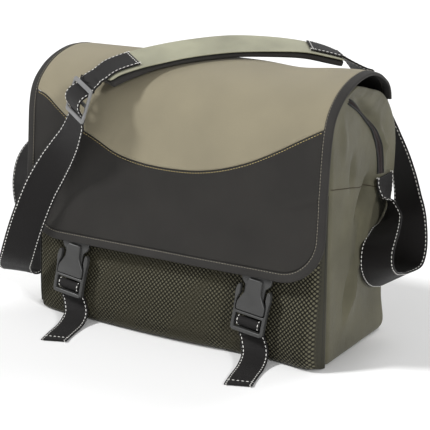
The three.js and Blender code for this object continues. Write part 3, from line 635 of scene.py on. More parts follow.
def bead_tree():
    """Beads along lines: long along the line, broad across it, high away from the cloth."""
    tree = Tree("beads_along_lines", {"Spacing": "NodeSocketFloat", "Long": "NodeSocketFloat",
                                      "Broad": "NodeSocketFloat", "High": "NodeSocketFloat",
                                      "Thread": "NodeSocketMaterial"})
    lines = tree.node("GeometryNodeMeshToCurve", None, {"Mesh": tree.start["Geometry"]})
    evened = tree.node("GeometryNodeResampleCurve", {"mode": "LENGTH"},
                       {"Curve": lines, "Length": tree.start["Spacing"]})
    bead = tree.node("GeometryNodeMeshIcoSphere", None, {"Radius": 0.5, "Subdivisions": 1})
    along = tree.node("GeometryNodeInputTangent")
    up = tree.node("GeometryNodeInputNamedAttribute", {"data_type": "FLOAT_VECTOR"}, {"Name": "up"})
    turned = tree.node("FunctionNodeAlignRotationToVector", {"axis": "X"}, {"Vector": along})
    set_up = tree.node("FunctionNodeAlignRotationToVector", {"axis": "Z", "pivot_axis": "X"},
                       {"Rotation": turned, "Vector": up})
    size = tree.node("ShaderNodeCombineXYZ", None, {"X": tree.start["Long"], "Y": tree.start["Broad"],
                                                    "Z": tree.start["High"]})
    beads = tree.node("GeometryNodeInstanceOnPoints", None,
                      {"Points": evened, "Instance": bead, "Rotation": set_up, "Scale": size})
    return tree.finish(tree.node("GeometryNodeRealizeInstances", None, {"Geometry": beads}))


def strand_tree():
    """A thin three-sided strand along each line."""
    tree = Tree("strands_along_lines", {"Radius": "NodeSocketFloat", "Thread": "NodeSocketMaterial"})
    lines = tree.node("GeometryNodeMeshToCurve", None, {"Mesh": tree.start["Geometry"]})
    section = tree.node("GeometryNodeCurvePrimitiveCircle", None,
                        {"Resolution": 3, "Radius": tree.start["Radius"]})
    strands = tree.node("GeometryNodeCurveToMesh", None,
                        {"Curve": lines, "Profile Curve": section, "Fill Caps": True})
    return tree.finish(tree.node("GeometryNodeRealizeInstances", None, {"Geometry": strands}))


beads = bead_tree()
strands = strand_tree()


# %% Lines that the trees follow
def line_mesh(name, lines):
    """A mesh of bare edges from a list of (points, ups)."""
    mesh = bpy.data.meshes.new(name)
    edges, start = [], 0
    for points, ups in lines:
        edges += [(start + i, start + i + 1) for i in range(len(points) - 1)]
        start += len(points)
    mesh.from_pydata(np.vstack([points for points, ups in lines]).tolist(), edges, [])
    up = mesh.attributes.new("up", "FLOAT_VECTOR", "POINT")
    up.data.foreach_set("vector", np.vstack([ups for points, ups in lines]).ravel())
    return mesh


def grown(name, lines, tree, slot, **inputs):
    """Runs a tree on lines and keeps its result as a plain mesh."""
    made = bpy.data.objects.new(name, line_mesh(name, lines))
    scene.collection.objects.link(made)
    modifier = made.modifiers.new("rows", "NODES")
    modifier.node_group = tree
    for item in tree.interface.items_tree:
        if item.in_out == "INPUT" and item.name in inputs:
            modifier[item.identifier] = inputs[item.name]
    kept = bpy.data.meshes.new_from_object(made.evaluated_get(bpy.context.evaluated_depsgraph_get()))
    made.modifiers.remove(modifier)
    made.data = kept
    return finish_piece(made)


def stitched(name, lines, thread, slot, spacing=stitch_spacing, long=stitch_length, thick=stitch_thick):
    return grown(name, lines, beads, slot, Spacing=spacing, Long=long, Broad=thick, High=thick,
                 Thread=thread)


# %% Cords
def distances(points):
    return np.concatenate([[0], np.cumsum(np.linalg.norm(np.diff(points, axis=0), axis=1))])


def squared(across, along):
    """The directions across, turned until they are square to those along."""
    return unit(across - along * np.sum(across * along, axis=1, keepdims=True))


def frames(stations):
    """The middle, and the directions along, across and up, at each station of a line."""
    middle = stations[:, :3]
    along = unit(np.gradient(middle, axis=0))
    across = squared(stations[:, 3:6], along)
    return middle, along, across, np.cross(across, along)


def cord(name, points, ups, radius, finish):
    """A round piping along a line, on the side that up points to."""
    stations = np.c_[points, np.cross(ups, np.gradient(points, axis=0))]
    middle, along, across, up = frames(stations)
    turn = np.linspace(0, 2 * math.pi, 10, endpoint=False)
    rings = (middle[:, None] + across[:, None] * np.cos(turn)[None, :, None] * radius
             + up[:, None] * np.sin(turn)[None, :, None] * radius)
    return finish_piece(tube(name, rings, distances(middle)[:, None], turn * radius, finish))


# %% [markdown]
# ## The body
# The body is a soft box of thin cloth. Its shape is a stack of rounded oblongs, one for each row of a
# table, and the sides carry folds. A loft is the right tool, because a real bag of this kind hangs between
# its seams in smooth bands.

# %% Tables of the body
# Columns: height as a share of body_height; front and back as shares of half_depth; side of half_width.
body_rows = [
    [0, 0.92, 0.8, 0.972],
    [0.012, 0.975, 0.885, 0.992],
    [0.045, 1, 0.94, 1],
    [0.165, 1, 0.84, 1],
    [0.309, 1, 0.92, 0.998],
    [0.447, 1, 1.03, 0.997],
    [0.567, 1, 1.12, 0.997],
    [0.653, 1, 1.16, 0.999],
    [0.739, 1, 1.17, 0.999],
    [0.808, 1, 1.13, 0.997],
    [0.859, 0.985, 1.045, 0.993],
    [0.9, 0.93, 0.935, 0.99],
    [0.931, 0.84, 0.81, 0.986],
    [0.955, 0.72, 0.64, 0.983],
    [0.974, 0.56, 0.373, 0.98],
    [0.99, 0.36, 0.147, 0.977],
    [1, 0.16, -0.053, 0.974],
]

# Folds of the side panels. Columns: y as a share of half_depth, z of body_height, lean in degrees, half
# length and half breadth of body_height, then the height as a share of fold_height. A hollow has a negative
# height.
side_folds = [
    [0.1, 0.52, 14, 0.144, 0.058, -1],
    [-0.24, 0.21, 25, 0.103, 0.031, 0.5],
    [-0.45, 0.78, 0, 0.124, 0.082, 0.5],
    [0.7, 0.8, -20, 0.089, 0.041, -0.5],
    [0.45, 0.17, 0, 0.103, 0.076, -0.583],
    [0.62, 0.62, 0, 0.103, 0.048, 0.417],
]

# Finer creases of the side panels, with the same columns.
side_creases = [
    [0.12, 0.57, 40, 0.07, 0.024, -2],
    [0.24, 0.61, 0, 0.04, 0.02, -1.6],
    [0.12, 0.44, 31, 0.16, 0.012, 1.5],
    [-0.3, 0.24, 18, 0.075, 0.01, 1.2],
    [-0.42, 0.24, 18, 0.075, 0.014, -1],
    [0.25, 0.885, -57, 0.11, 0.024, -2],
    [0.64, 0.76, -10, 0.08, 0.02, 1.6],
    [0.66, 0.745, -60, 0.03, 0.01, 0.8],
    [-0.35, 0.7, 0, 0.06, 0.017, -1.2],
    [-0.62, 0.83, 0, 0.07, 0.02, 1],
]


# %% Rings of the body
def side_fold(y, z):
    total = np.zeros_like(y)
    for y_share, z_share, lean, length, breadth, height in side_folds + side_creases:
        turn = math.radians(lean)
        dy = y - y_share * half_depth
        dz = z - z_share * body_height
        along = (dz * math.cos(turn) + dy * math.sin(turn)) / (length * body_height)
        beside = (dy * math.cos(turn) - dz * math.sin(turn)) / (breadth * body_height)
        total = total + height * fold_height * np.exp(-along ** 2 - beside ** 2)
    return total


def body_ring(row, front_count=60, side_count=60, corner_count=6):
    height, front_share, back_share, side_share = row
    z = height * body_height
    front = -front_share * half_depth
    back = back_share * half_depth
    radius = min(corner_radius, (back - front) * 0.4)
    half = side_share * half_width - radius
    belly = back_belly * math.sin(math.pi * min(height / 0.9, 1))
    spread = np.linspace(-1, 1, front_count)
    down = np.linspace(0, 1, side_count)
    side_y = front + radius + (back - front - 2 * radius) * down
    side_x = half + radius + side_fold(side_y, z) * np.sin(np.pi * down)
    turn = np.arange(1, corner_count + 1) / (corner_count + 1) * math.pi / 2

    def corner(x, y, start):
        return np.c_[x + np.cos(start + turn) * radius, y + np.sin(start + turn) * radius]

    outline = np.vstack([
        np.c_[half * spread, np.full(front_count, front)],
        corner(half, front + radius, -math.pi / 2),
        np.c_[side_x, side_y],
        corner(half, back - radius, 0),
        np.c_[-half * spread, back + belly * (1 - spread ** 2)],
        corner(-half, back - radius, math.pi / 2),
        np.c_[-side_x[::-1], side_y[::-1]],
        corner(-half, front + radius, math.pi),
    ])
    return np.c_[outline, np.full(len(outline), z)]


body_rings = np.array([body_ring(row) for row in finer(body_rows, 12)])
round_body = np.array([distances(ring) for ring in body_rings])
up_body = distances(body_rings[:, 0])
body = tube("body_cloth_shell", body_rings, round_body, up_body[:, None], body_finish)
finish_piece(body, ["main_body"])

# %% [markdown]
# Seams hold the body together. A thin cord marks the seam across each side. It lies on the skin: each of its
# points is the nearest one of the body's mesh.

# %% Seams of the body
body_skin = BVHTree.FromPolygons([v.co for v in body.data.vertices],
                                 [p.vertices for p in body.data.polygons])


def on_skin(points, lift):
    """The nearest places on the body's skin, moved outward by lift, and the directions away from it."""
    found = [body_skin.find_nearest(Vector(p)) for p in np.asarray(points)]
    ups = unit(np.array([normal for place, normal, face, away in found]))
    return np.array([place for place, normal, face, away in found]) + ups * lift, ups


def mirrored(points):
    return np.asarray(points) * [-1, 1, 1]


def forward(count):
    """The direction to the front of the bag, once for each of count points."""
    return np.tile([0, -1, 0], (count, 1))


# Columns: y as a share of half_depth, z of body_height, for the seam across a side.
seam_line = [[-0.97, 0.669], [-0.4, 0.644], [0.16, 0.616], [0.5, 0.6]]
cord_points = 60
side_seam = row_at(seam_line, np.linspace(0, len(seam_line) - 1, cord_points)) * [half_depth, body_height]
side_seam = np.c_[np.full(cord_points, half_width), side_seam]
for side, turned in (("right", side_seam), ("left", mirrored(side_seam))):
    places, ups = on_skin(turned, seam_cord_lift)
    cord("side_seam_cord_" + side, places, ups, seam_cord_radius, seam_finish)

# %% [markdown]
# ## The front pocket
# The pocket is a bulged panel of dark cloth behind a black net. Its swell is one curve down the pocket times
# another across it, which gives a pillow that is tight at its seams and full in the middle.

# %% Pocket cloth
# Columns: z as a share of body_height, then the swell as a share of pocket_swell.
pocket_rows = [
    [0.003, 0.36],
    [0.009, 0.64],
    [0.022, 0.86],
    [0.05, 1.02],
    [0.12, 1.02],
    [0.2, 0.86],
    [0.28, 0.6],
    [0.36, 0.52],
    [0.5, 0.42],
    [0.65, 0.32],
]

# Columns: x as a share of half_width, then the swell as a share of its value in the row.
pocket_columns = [
    [-0.992, 0.02],
    [-0.975, 0.3],
    [-0.93, 0.6],
    [-0.86, 0.78],
    [-0.74, 0.9],
    [-0.55, 1.02],
    [-0.32, 1.18],
    [-0.1, 1.25],
    [0.1, 1.22],
    [0.28, 1.1],
    [0.42, 0.92],
    [0.58, 0.88],
    [0.78, 1.02],
    [0.9, 1.22],
    [0.955, 1.02],
    [0.982, 0.5],
    [0.992, 0.02],
]


def pocket_at(x, z):
    """y of the middle of the pocket's cloth."""
    down = look_up(pocket_rows, np.ravel(z) / body_height)[:, 0]
    over = look_up(pocket_columns, np.ravel(x) / half_width)[:, 0]
    swell = (down * over).reshape(np.shape(x))
    return -half_depth - gap - pocket_cloth / 2 - pocket_swell * swell


def spaced(keys, per_row):
    """Places between the keys of a table, closer where the keys are closer."""
    return np.interp(np.linspace(0, len(keys) - 1, (len(keys) - 1) * per_row + 1), range(len(keys)), keys)


pocket_x = spaced([row[0] * half_width for row in pocket_columns], 6)
pocket_z = spaced([row[0] * body_height for row in pocket_rows], 6)
pocket_grid_x, pocket_grid_z = np.meshgrid(pocket_x, pocket_z)
pocket_grid = np.stack([pocket_grid_x, pocket_at(pocket_grid_x, pocket_grid_z), pocket_grid_z], axis=2)
pocket_maps = np.stack([pocket_grid_x, pocket_grid_z], axis=2)
pocket = cloth_sheet("pocket_cloth_panel", pocket_grid, pocket_maps, pocket_cloth, pocket_finish)
finish_piece(pocket, ["front_pocket"])

# %% [markdown]
# The net is knitted in rows that swing up and down, so that each row touches the next at its turns and
# leaves cells between. Rows stop a little under the flap, where nobody sees them.

# %% Net over the pocket
net_reach = 0.984 * half_width
net_full_top = 0.36 * flap_height
net_corner_top = 0.5 * flap_height
net_corner_start = 0.62 * half_width


def net_row(k, start, end):
    first, last = round(start / net_cell * 2), round(end / net_cell * 2)
    turns = np.arange(first, last + 1)
    x = turns * net_cell / 2
    swing = np.where((turns + k) % 2 == 0, 0.5, -0.5)
    z = np.maximum(net_foot + (k + swing) * net_pitch, net_lowest)
    y = pocket_at(x, z) - pocket_cloth / 2 - net_lift
    return np.c_[x, y, z], forward(len(x))


net_lines = []
for k in range(int((net_corner_top - net_foot) / net_pitch)):
    if net_foot + k * net_pitch < net_full_top:
        net_lines.append(net_row(k, -net_reach, net_reach))
    else:
        net_lines.append(net_row(k, -net_reach, -net_corner_start))
        net_lines.append(net_row(k, net_corner_start, net_reach))
grown("pocket_net", net_lines, strands, "pocket_mesh", Radius=net_strand, Thread=net_finish)

# %% Piping round the pocket
piping_place = 0.987 * half_width
piping_foot = 0.03 * body_height
piping_top = 0.64 * body_height
edge_z = np.linspace(piping_foot, piping_top, cord_points)
edge_x = np.full(cord_points, piping_place)
edge = np.c_[edge_x, pocket_at(edge_x, edge_z) - pocket_piping_lift, edge_z]
for side, turned in (("right", edge), ("left", mirrored(edge))):
    cord("pocket_piping_" + side, turned, forward(cord_points), pocket_piping_radius, piping_finish)

# %% [markdown]
# ## The flap
# The flap is one long cloth from a seam on the back, over the ridge and down the front. One profile is swept
# from side to side. The pale upper panel and the charcoal lower panel meet in a curved seam.

# %% Profile of the flap
# Columns: y as a share of half_depth, z of flap_height, half width of flap_half_width.
flap_rows = [
    [0.928, 0.872, 0.972],
    [0.888, 0.907, 0.975],
    [0.79, 0.937, 0.98],
    [0.627, 0.962, 0.985],
    [0.427, 0.984, 0.99],
    [0.173, 0.998, 0.995],
    [-0.067, 1, 1],
    [-0.293, 0.992, 1],
    [-0.507, 0.977, 1],
    [-0.693, 0.956, 1],
    [-0.853, 0.928, 1],
    [-0.973, 0.898, 1],
    [-1.053, 0.862, 1],
    [-1.107, 0.813, 1],
    [-1.14, 0.754, 1],
    [-1.173, 0.656, 1],
    [-1.205, 0.557, 1],
    [-1.255, 0.45, 1],
    [-1.31, 0.365, 1],
    [-1.345, 0.314, 1],
]
profile_rows = finer(flap_rows, 24)
profile_y = profile_rows[:, 0] * half_depth
profile_z = profile_rows[:, 1] * flap_height
profile_half = profile_rows[:, 2] * flap_half_width
profile_length = distances(np.c_[profile_y, profile_z])
flap_length = profile_length[-1]
front_start = int(np.argmax(profile_z))


def length_at_height(z):
    return np.interp(-np.asarray(z), -profile_z[front_start:], profile_length[front_start:])


def on_profile(length, values):
    return np.interp(length, profile_length, values)


def flap_half(length):
    return on_profile(length, profile_half)


def flap_at(x, length, lift=0.0):
    """A place on the middle of the flap's cloth, moved along its normal by lift."""
    x, length = np.broadcast_arrays(np.asarray(x, float), np.asarray(length, float))
    reach = 4 * mm
    y, z = on_profile(length, profile_y), on_profile(length, profile_z)
    before, after = np.maximum(length - reach, 0), np.minimum(length + reach, flap_length)
    dy = on_profile(after, profile_y) - on_profile(before, profile_y)
    dz = on_profile(after, profile_z) - on_profile(before, profile_z)
    size = np.hypot(dy, dz)
    normal_y, normal_z = dz / size, -dy / size
    edge = np.maximum(np.abs(x) / flap_half(length) - edge_curl_start, 0) / (1 - edge_curl_start)
    upright = np.maximum(normal_z, 0)
    dip = ridge_dip * np.exp(-((x - ridge_dip_place * half_width) / ridge_dip_reach) ** 2) * upright
    ripple = (np.sin(x / ripple_over[0] + length / ripple_down[0])
              * np.sin(length / ripple_down[1] - x / ripple_over[1]))
    crease = (z - crease_height * flap_height - (x - crease_start) * crease_slope) / crease_breadth
    crease = np.exp(-crease ** 2) * np.clip((x - crease_start) / crease_fade, 0, 1)
    out = lift - edge_curl * edge ** 2 * upright - dip
    out = out + flap_ripple * (ripple + crease) * (1 - upright)
    return np.stack([x, y + normal_y * out, z + normal_z * out], axis=-1)


print("flap length:", round(flap_length, 3))

# %% Panels of the flap
# Columns: x as a share of half_width, z as a share of flap_height.
seam_rows = [
    [-1.03, 0.872],
    [-0.89, 0.845],
    [-0.79, 0.803],
    [-0.695, 0.764],
    [-0.5, 0.71],
    [-0.37, 0.673],
    [-0.225, 0.652],
    [-0.1, 0.644],
    [0.03, 0.643],
    [0.2, 0.65],
    [0.32, 0.664],
    [0.53, 0.706],
    [0.68, 0.75],
    [0.84, 0.804],
    [1.03, 0.866],
]
panel_inset = binding_width + gap
panel_columns = 97


def seam_length(x):
    """Distance down to the seam between the two panels."""
    shares = look_up(seam_rows, np.ravel(x) / half_width)[:, 0]
    return length_at_height(shares.reshape(np.shape(x)) * flap_height)


def upper_start(x):
    return 0 * x


def upper_end(x):
    return seam_length(x) - gap


def lower_start(x):
    return seam_length(x) + gap


def lower_end(x):
    """Distance down to the inside of the binding, round the lower corners of the flap."""
    radius = flap_corner - panel_inset
    past = np.maximum(np.abs(x) - (flap_half_width - flap_corner), 0)
    turned = radius - np.sqrt(np.maximum(radius ** 2 - past ** 2, 0))
    return flap_length - panel_inset - turned


def flap_panel(name, start, end, count, finish):
    shares = np.sin(np.linspace(1, -1, panel_columns) * math.pi / 2)
    guess = shares * (flap_half_width - panel_inset)
    t = np.linspace(0, 1, count)[:, None]
    length = start(guess) + (end(guess) - start(guess)) * t
    x = shares * (flap_half(length) - panel_inset)
    grid = flap_at(x, length)
    # The back of each panel gets the near-black painted shade of the flap's underside.
    return cloth_sheet(name, grid, np.stack([x, length], axis=2), flap_cloth, finish, painted_shade_underside_finish)


upper = flap_panel("flap_upper_cloth", upper_start, upper_end, 120, khaki_finish)
lower = flap_panel("flap_lower_cloth", lower_start, lower_end, 60, charcoal_finish)
finish_piece(upper, ["flap_upper"])
finish_piece(lower, ["flap_lower"])


# %% Cut sizes of the two panels
def flat_area(start, end):
    x = np.linspace(-1, 1, 400) * (flap_half_width - panel_inset)
    return float(np.mean(end(x) - start(x)) * (x[-1] - x[0]))


upper_area = flat_area(upper_start, upper_end)
upper_long = float(seam_length(np.array(0.0)))
lower_area = flat_area(lower_start, lower_end)
lower_long = flap_length - panel_inset - float(seam_length(np.array(flap_half_width)))

# %% [markdown]
# ## The binding
# A woven tape is folded over the raw edge of the flap and sewn through. It is a swept section with a rounded
# outer edge that follows the outline of the flap round its lower corners.

# %% Binding of the flap
corner_x = flap_half_width - flap_corner
straight_length = flap_length - flap_corner


def flap_outline():
    """Rows of x, distance down, and the inward direction, from the right back round to the left back."""
    down = np.linspace(0, straight_length, 90)
    turn = np.linspace(0, math.pi / 2, 25)[1:]
    over = np.linspace(corner_x, 0, 30)[1:]
    right = np.vstack([
        np.c_[flap_half(down), down, -np.ones_like(down), np.zeros_like(down)],
        np.c_[corner_x + np.cos(turn) * flap_corner, straight_length + np.sin(turn) * flap_corner,
              -np.cos(turn), -np.sin(turn)],
        np.c_[over, np.full_like(over, flap_length), np.zeros_like(over), -np.ones_like(over)],
    ])
    left = right[-2::-1] * [-1, 1, -1, 1]
    return np.vstack([right, left])


# Columns: share of the width inward, share of the thickness up.
binding_section = [[0, -0.2], [0.03, -0.36], [0.09, -0.46], [0.2, -0.5], [0.6, -0.5], [0.96, -0.46],
                   [1, -0.36], [1, 0.36], [0.96, 0.46], [0.6, 0.5], [0.2, 0.5], [0.09, 0.46], [0.03, 0.36],
                   [0, 0.2]]


def along_outline(inward, lift):
    outline = flap_outline()
    return flap_at(outline[:, 0] + outline[:, 2] * inward, outline[:, 1] + outline[:, 3] * inward, lift)


binding_lines = [along_outline(a * binding_width, b * binding_thick) for a, b in binding_section]
binding_rings = np.stack(binding_lines, axis=1)
binding_run = distances(binding_rings[:, 0])
binding_across = np.array(binding_section)[:, 0] * binding_width
binding = tube("flap_binding_tape", binding_rings, binding_run[:, None], binding_across, binding_finish)
finish_piece(binding, ["flap_binding"])

# %% [markdown]
# Two rows of thread show on the flap. A golden one follows the seam just below the pale panel. A grey one
# goes all the way round, close to the inner edge of the binding.

# %% Stitches of the flap
seam_points_across = 160
seam_stitch_inset = 3 * mm
seam_x = np.linspace(-1, 1, seam_points_across) * (flap_half_width - panel_inset - seam_stitch_inset)
seam_points = flap_at(seam_x, seam_length(seam_x) + seam_stitch_drop, flap_cloth / 2)
stitched("flap_seam_stitches", [(seam_points, forward(len(seam_x)))], gold_finish, "flap_charcoal",
         flap_stitch_spacing, flap_stitch_length, gold_thread_thick)
on_binding = along_outline(binding_width - binding_stitch_inset, binding_thick / 2)
above_binding = along_outline(binding_width - binding_stitch_inset, binding_thick)
stitched("binding_stitches", [(on_binding, unit(above_binding - on_binding))], grey_thread_finish, "binding",
         flap_stitch_spacing, flap_stitch_length, grey_thread_thick)

# %% [markdown]
# ## Webbing and belts
# A strap is a flat band along a path. At each station of the path there is a middle and a direction across,
# and the section is a flat oblong with rounded edges. Flat straps are modelled directly, because a cloth
# simulation would lose their even width.


# %% Bands
def refined(stations, per_step=5):
    """More stations on smooth curves through the given ones. Columns: place, then direction across."""
    return finer(stations, per_step)


# Columns: share of the width across, share of half the thickness up.
band_section = [[-0.5, 0], [-0.495, -0.6], [-0.48, -0.95], [-0.44, -1], [-0.2, -1], [0.2, -1], [0.44, -1],
                [0.48, -0.95], [0.495, -0.6], [0.5, 0], [0.495, 0.6], [0.48, 0.95], [0.44, 1], [0.2, 1],
                [-0.2, 1], [-0.44, 1], [-0.48, 0.95], [-0.495, 0.6]]


def band(name, stations, width, thick, finish):
    middle, along, across, up = frames(stations)
    section = np.array(band_section)
    wide = np.reshape(width, (-1, 1)) * section[None, :, 0]
    rings = (middle[:, None] + across[:, None] * wide[:, :, None]
             + up[:, None] * section[None, :, 1:] * thick / 2)
    return tube(name, rings, distances(middle)[:, None], wide, finish)


body_size = np.array([half_width, half_depth, body_height])


def placed(rows):
    """Rows of places, as shares of the body's sizes, and directions, with the places in metres."""
    rows = np.asarray(rows, float)
    return np.c_[rows[:, :3] * body_size, rows[:, 3:]]


def stations_from(rows, per_row=2):
    return finer(placed(rows), per_row)


def on_band(stations, runs, beside, thick):
    """Places on the face of a band, at distances along it and beside its middle, and the directions away."""
    middle, along, across, up = frames(stations)
    run = distances(middle)
    runs, beside = np.broadcast_arrays(np.asarray(runs, float), np.asarray(beside, float))

    def at(values):
        return np.stack([np.interp(runs, run, values[:, k]) for k in range(3)], axis=1)

    away = unit(at(up)) * math.copysign(1, thick)
    return at(middle) + unit(at(across)) * beside[:, None] + away * abs(thick) / 2, away


def edge_rows(stations, width, thick, inset):
    """Rows of thread along both edges of a band, on both of its faces."""
    length = distances(stations[:, :3])[-1]
    runs = np.linspace(0, length, max(int(length / (2 * mm)), 2))
    return [on_band(stations, runs, side * (width / 2 - inset), face * thick)
            for side in (-1, 1) for face in (-1, 1)]


def sewn_across(stations, width, thick, inset, place):
    """A row of thread across a band, at a distance along it, on both of its faces."""
    reach = width / 2 - inset
    beside = np.linspace(-reach, reach, 14)
    return [on_band(stations, place, beside, face * thick) for face in (-1, 1)]


# %% Tables of the shoulder strap
# Columns: x, y, z of the middle as shares of half_width, half_depth and body_height, then x, y, z of the
# direction across. The rows of the pad end with the thickness of its base as a share of pad_base_thick.
pad_rows = [
    [-0.458, -1.173, 0.997, 0.8, -0.56, -0.15, 1.6],
    [-0.421, -1.027, 1.024, 0.8, -0.57, -0.17, 1.75],
    [-0.342, -0.747, 1.048, 0.77, -0.6, -0.2, 1.4],
    [-0.242, -0.48, 1.067, 0.68, -0.7, -0.24, 1],
    [-0.095, -0.2, 1.088, 0.6, -0.77, -0.24, 1],
    [0.095, 0.147, 1.103, 0.57, -0.79, -0.23, 1],
    [0.284, 0.493, 1.101, 0.54, -0.82, -0.18, 1.1],
    [0.442, 0.787, 1.09, 0.52, -0.85, -0.1, 1.2],
    [0.558, 1.013, 1.066, 0.55, -0.83, -0.05, 1.2],
    [0.625, 1.141, 1.046, 0.62, -0.78, 0, 1.1],
]
left_above_rows = [
    [-0.489, -1.267, 0.986, 0.82, -0.55, -0.15],
]
left_below_rows = [
    [-0.579, -1.427, 0.814, 0.9, -0.42, -0.1],
    [-0.632, -1.427, 0.742, 0.9, -0.25, -0.3],
    [-0.742, -1.427, 0.643, 0.82, 0.15, -0.45],
    [-0.834, -1.493, 0.54, 0.74, 0.48, -0.38],
    [-0.908, -1.527, 0.435, 0.7, 0.58, -0.34],
    [-0.971, -1.527, 0.342, 0.7, 0.6, -0.33],
    [-1.045, -1.48, 0.237, 0.7, 0.6, -0.3],
    [-1.111, -1.347, 0.182, 0.72, 0.58, -0.25],
    [-1.142, -1.16, 0.145, 0.8, 0.5, -0.15],
    [-1.142, -0.947, 0.143, 0.9, 0.35, -0.05],
    [-1.137, -0.787, 0.19, 1, 0.15, 0],
    [-1.137, -0.76, 0.254, 1, 0.08, 0],
    [-1.142, -0.813, 0.344, 1, 0.05, 0],
    [-1.145, -0.893, 0.426, 1, 0, 0],
    [-1.147, -0.893, 0.509, 1, 0, 0],
    [-1.147, -0.76, 0.591, 1, 0, 0],
    [-1.142, -0.48, 0.646, 1, 0, 0],
    [-1.137, -0.16, 0.643, 1, 0.02, 0],
    [-1.126, 0.133, 0.598, 1, 0.1, 0],
    [-1.1, 0.373, 0.55, 0.92, 0.4, 0],
    [-1.063, 0.56, 0.533, 0.6, 0.8, 0],
    [-1.032, 0.64, 0.564, 0.15, 1, 0],
    [-1.021, 0.653, 0.612, 0, 1, 0],
    [-1.018, 0.653, 0.635, 0, 1, 0],
]
right_rows = [
    [1.019, 0.653, 0.635, 0, 1, 0],
    [1.021, 0.653, 0.608, 0, 1, 0],
    [1.031, 0.647, 0.567, -0.15, 1, 0],
    [1.055, 0.613, 0.526, -0.53, 0.85, 0],
    [1.084, 0.453, 0.485, -0.7, 0.72, 0],
    [1.108, 0.187, 0.45, -0.85, 0.5, 0],
    [1.121, -0.067, 0.405, -1, 0.1, 0],
    [1.121, -0.067, 0.337, -1, 0.02, -0.25],
    [1.108, 0.187, 0.275, -0.86, 0.1, -0.5],
    [1.097, 0.507, 0.241, -0.8, 0.15, -0.55],
    [1.095, 0.827, 0.227, -0.82, 0.15, -0.5],
    [1.105, 1.08, 0.261, -0.9, 0, -0.3],
    [1.105, 1.173, 0.337, -0.95, -0.2, -0.1],
    [1.095, 1.173, 0.426, -0.95, -0.2, 0],
    [1.066, 1.253, 0.509, -0.93, 0.25, 0],
    [1.024, 1.333, 0.591, -0.9, 0.4, 0],
    [0.968, 1.387, 0.67, -0.9, 0.42, 0],
    [0.904, 1.413, 0.746, -0.9, 0.4, 0.1],
    [0.84, 1.427, 0.825, -0.88, 0.4, 0.2],
    [0.79, 1.413, 0.912, -0.88, 0.38, 0.25],
    [0.714, 1.333, 0.99, -0.95, 0.25, 0.2],
]
slider_middle = np.array([-0.545, -1.44, 0.907]) * [half_width, half_depth, body_height]
slider_across = unit(np.array([0.84, -0.5, -0.2]))
slider_down = np.array([-0.13, -0.2, -0.97])
slider_down = unit(slider_down - slider_across * (slider_down @ slider_across))
slider_out = unit(np.cross(slider_down, slider_across))

# Columns: distance down and distance out from the middle of the slider, as shares of webbing_width.
left_in_slider = [
    [-0.525, -0.13],
    [-0.412, -0.095],
    [-0.33, -0.04],
    [-0.25, 0.06],
    [-0.138, 0.15],
    [0, 0.188],
    [0.138, 0.15],
    [0.25, 0.06],
    [0.33, -0.04],
    [0.412, -0.082],
    [0.525, -0.09],
]


# %% [markdown]
# ## The shoulder pad
# The pad is a long cushion: a pale cloth cover sewn over a dark padded base. It is thick along its middle
# and pinched at its edges.

# %% Pad
def pad_frames(places):
    rows = placed(pad_rows)
    last = len(rows) - 1
    middle = row_at(rows, places)
    after = row_at(rows, np.minimum(places + 0.18, last))[:, :3]
    before = row_at(rows, np.maximum(places - 0.18, 0))[:, :3]
    along = unit(after - before)
    across = squared(middle[:, 3:6], along)
    return middle[:, :3], across, np.cross(across, along)


def pad_layer(name, high, thick, width, finish):
    """One layer down from a height over the table's line; thick is one thickness for each of its rings."""
    count = len(thick)
    share = np.linspace(0, 1, count)
    middle, across, up = pad_frames(share * (len(pad_rows) - 1))
    end = np.minimum(share, 1 - share) * (count - 1) / 5
    wide = width * (1 - 0.14 * np.clip(1 - end, 0, 1) ** 2)
    turn = np.linspace(0, 2 * math.pi, 40, endpoint=False)
    section_a = -np.sign(np.cos(turn)) * np.abs(np.cos(turn)) ** 0.35 / 2
    section_b = -np.sign(np.sin(turn)) * np.abs(np.sin(turn)) ** 0.6
    half = thick[:, None, None] / 2
    rings = (middle[:, None] + across[:, None] * (section_a[None, :, None] * wide[:, None, None])
             + up[:, None] * (high - half + section_b[None, :, None] * half))
    return tube(name, rings, distances(middle)[:, None], section_a * width, finish)


pad_ring_count = 90
pad_places = np.linspace(0, len(pad_rows) - 1, pad_ring_count)
cover_thick = np.full(pad_ring_count, pad_cover_thick)
base_thick = row_at(pad_rows, pad_places)[:, 6] * pad_base_thick
pad_cover = pad_layer("pad_cover_cloth", 0, cover_thick, pad_width, pad_finish)
pad_base = pad_layer("pad_base_cushion", -pad_cover_thick - loose_gap, base_thick,
                     pad_width - 2 * loose_gap, pad_base_finish)
finish_piece(pad_cover, ["shoulder_pad_cover"])
finish_piece(pad_base, ["shoulder_pad_base"])


# %% [markdown]
# ## The two halves of the shoulder strap
# The left half starts on the pad, runs through the slider and hangs down in a loop to the left side. The
# right half leaves its tab on the right side, hangs in its loop, and climbs the back onto the pad.

# %% Shoulder straps
# Where the webbing ends on the pad, counted in rows of its table, and how many steps it takes there.
left_end_row = 2
right_end_row = 7.2
end_spans = 4


def on_pad(start, end, count):
    """Stations of webbing lying on the pad, between two places counted in rows of its table."""
    middle, across, up = pad_frames(np.linspace(start, end, count + 1))
    return np.c_[middle + up * (webbing_thick / 2 + loose_gap), across]


def in_slider():
    rows = finer(left_in_slider, 2) * webbing_width
    middle = slider_middle + rows[:, :1] * slider_down + rows[:, 1:] * slider_out
    return np.c_[middle, np.broadcast_to(slider_across, middle.shape)]


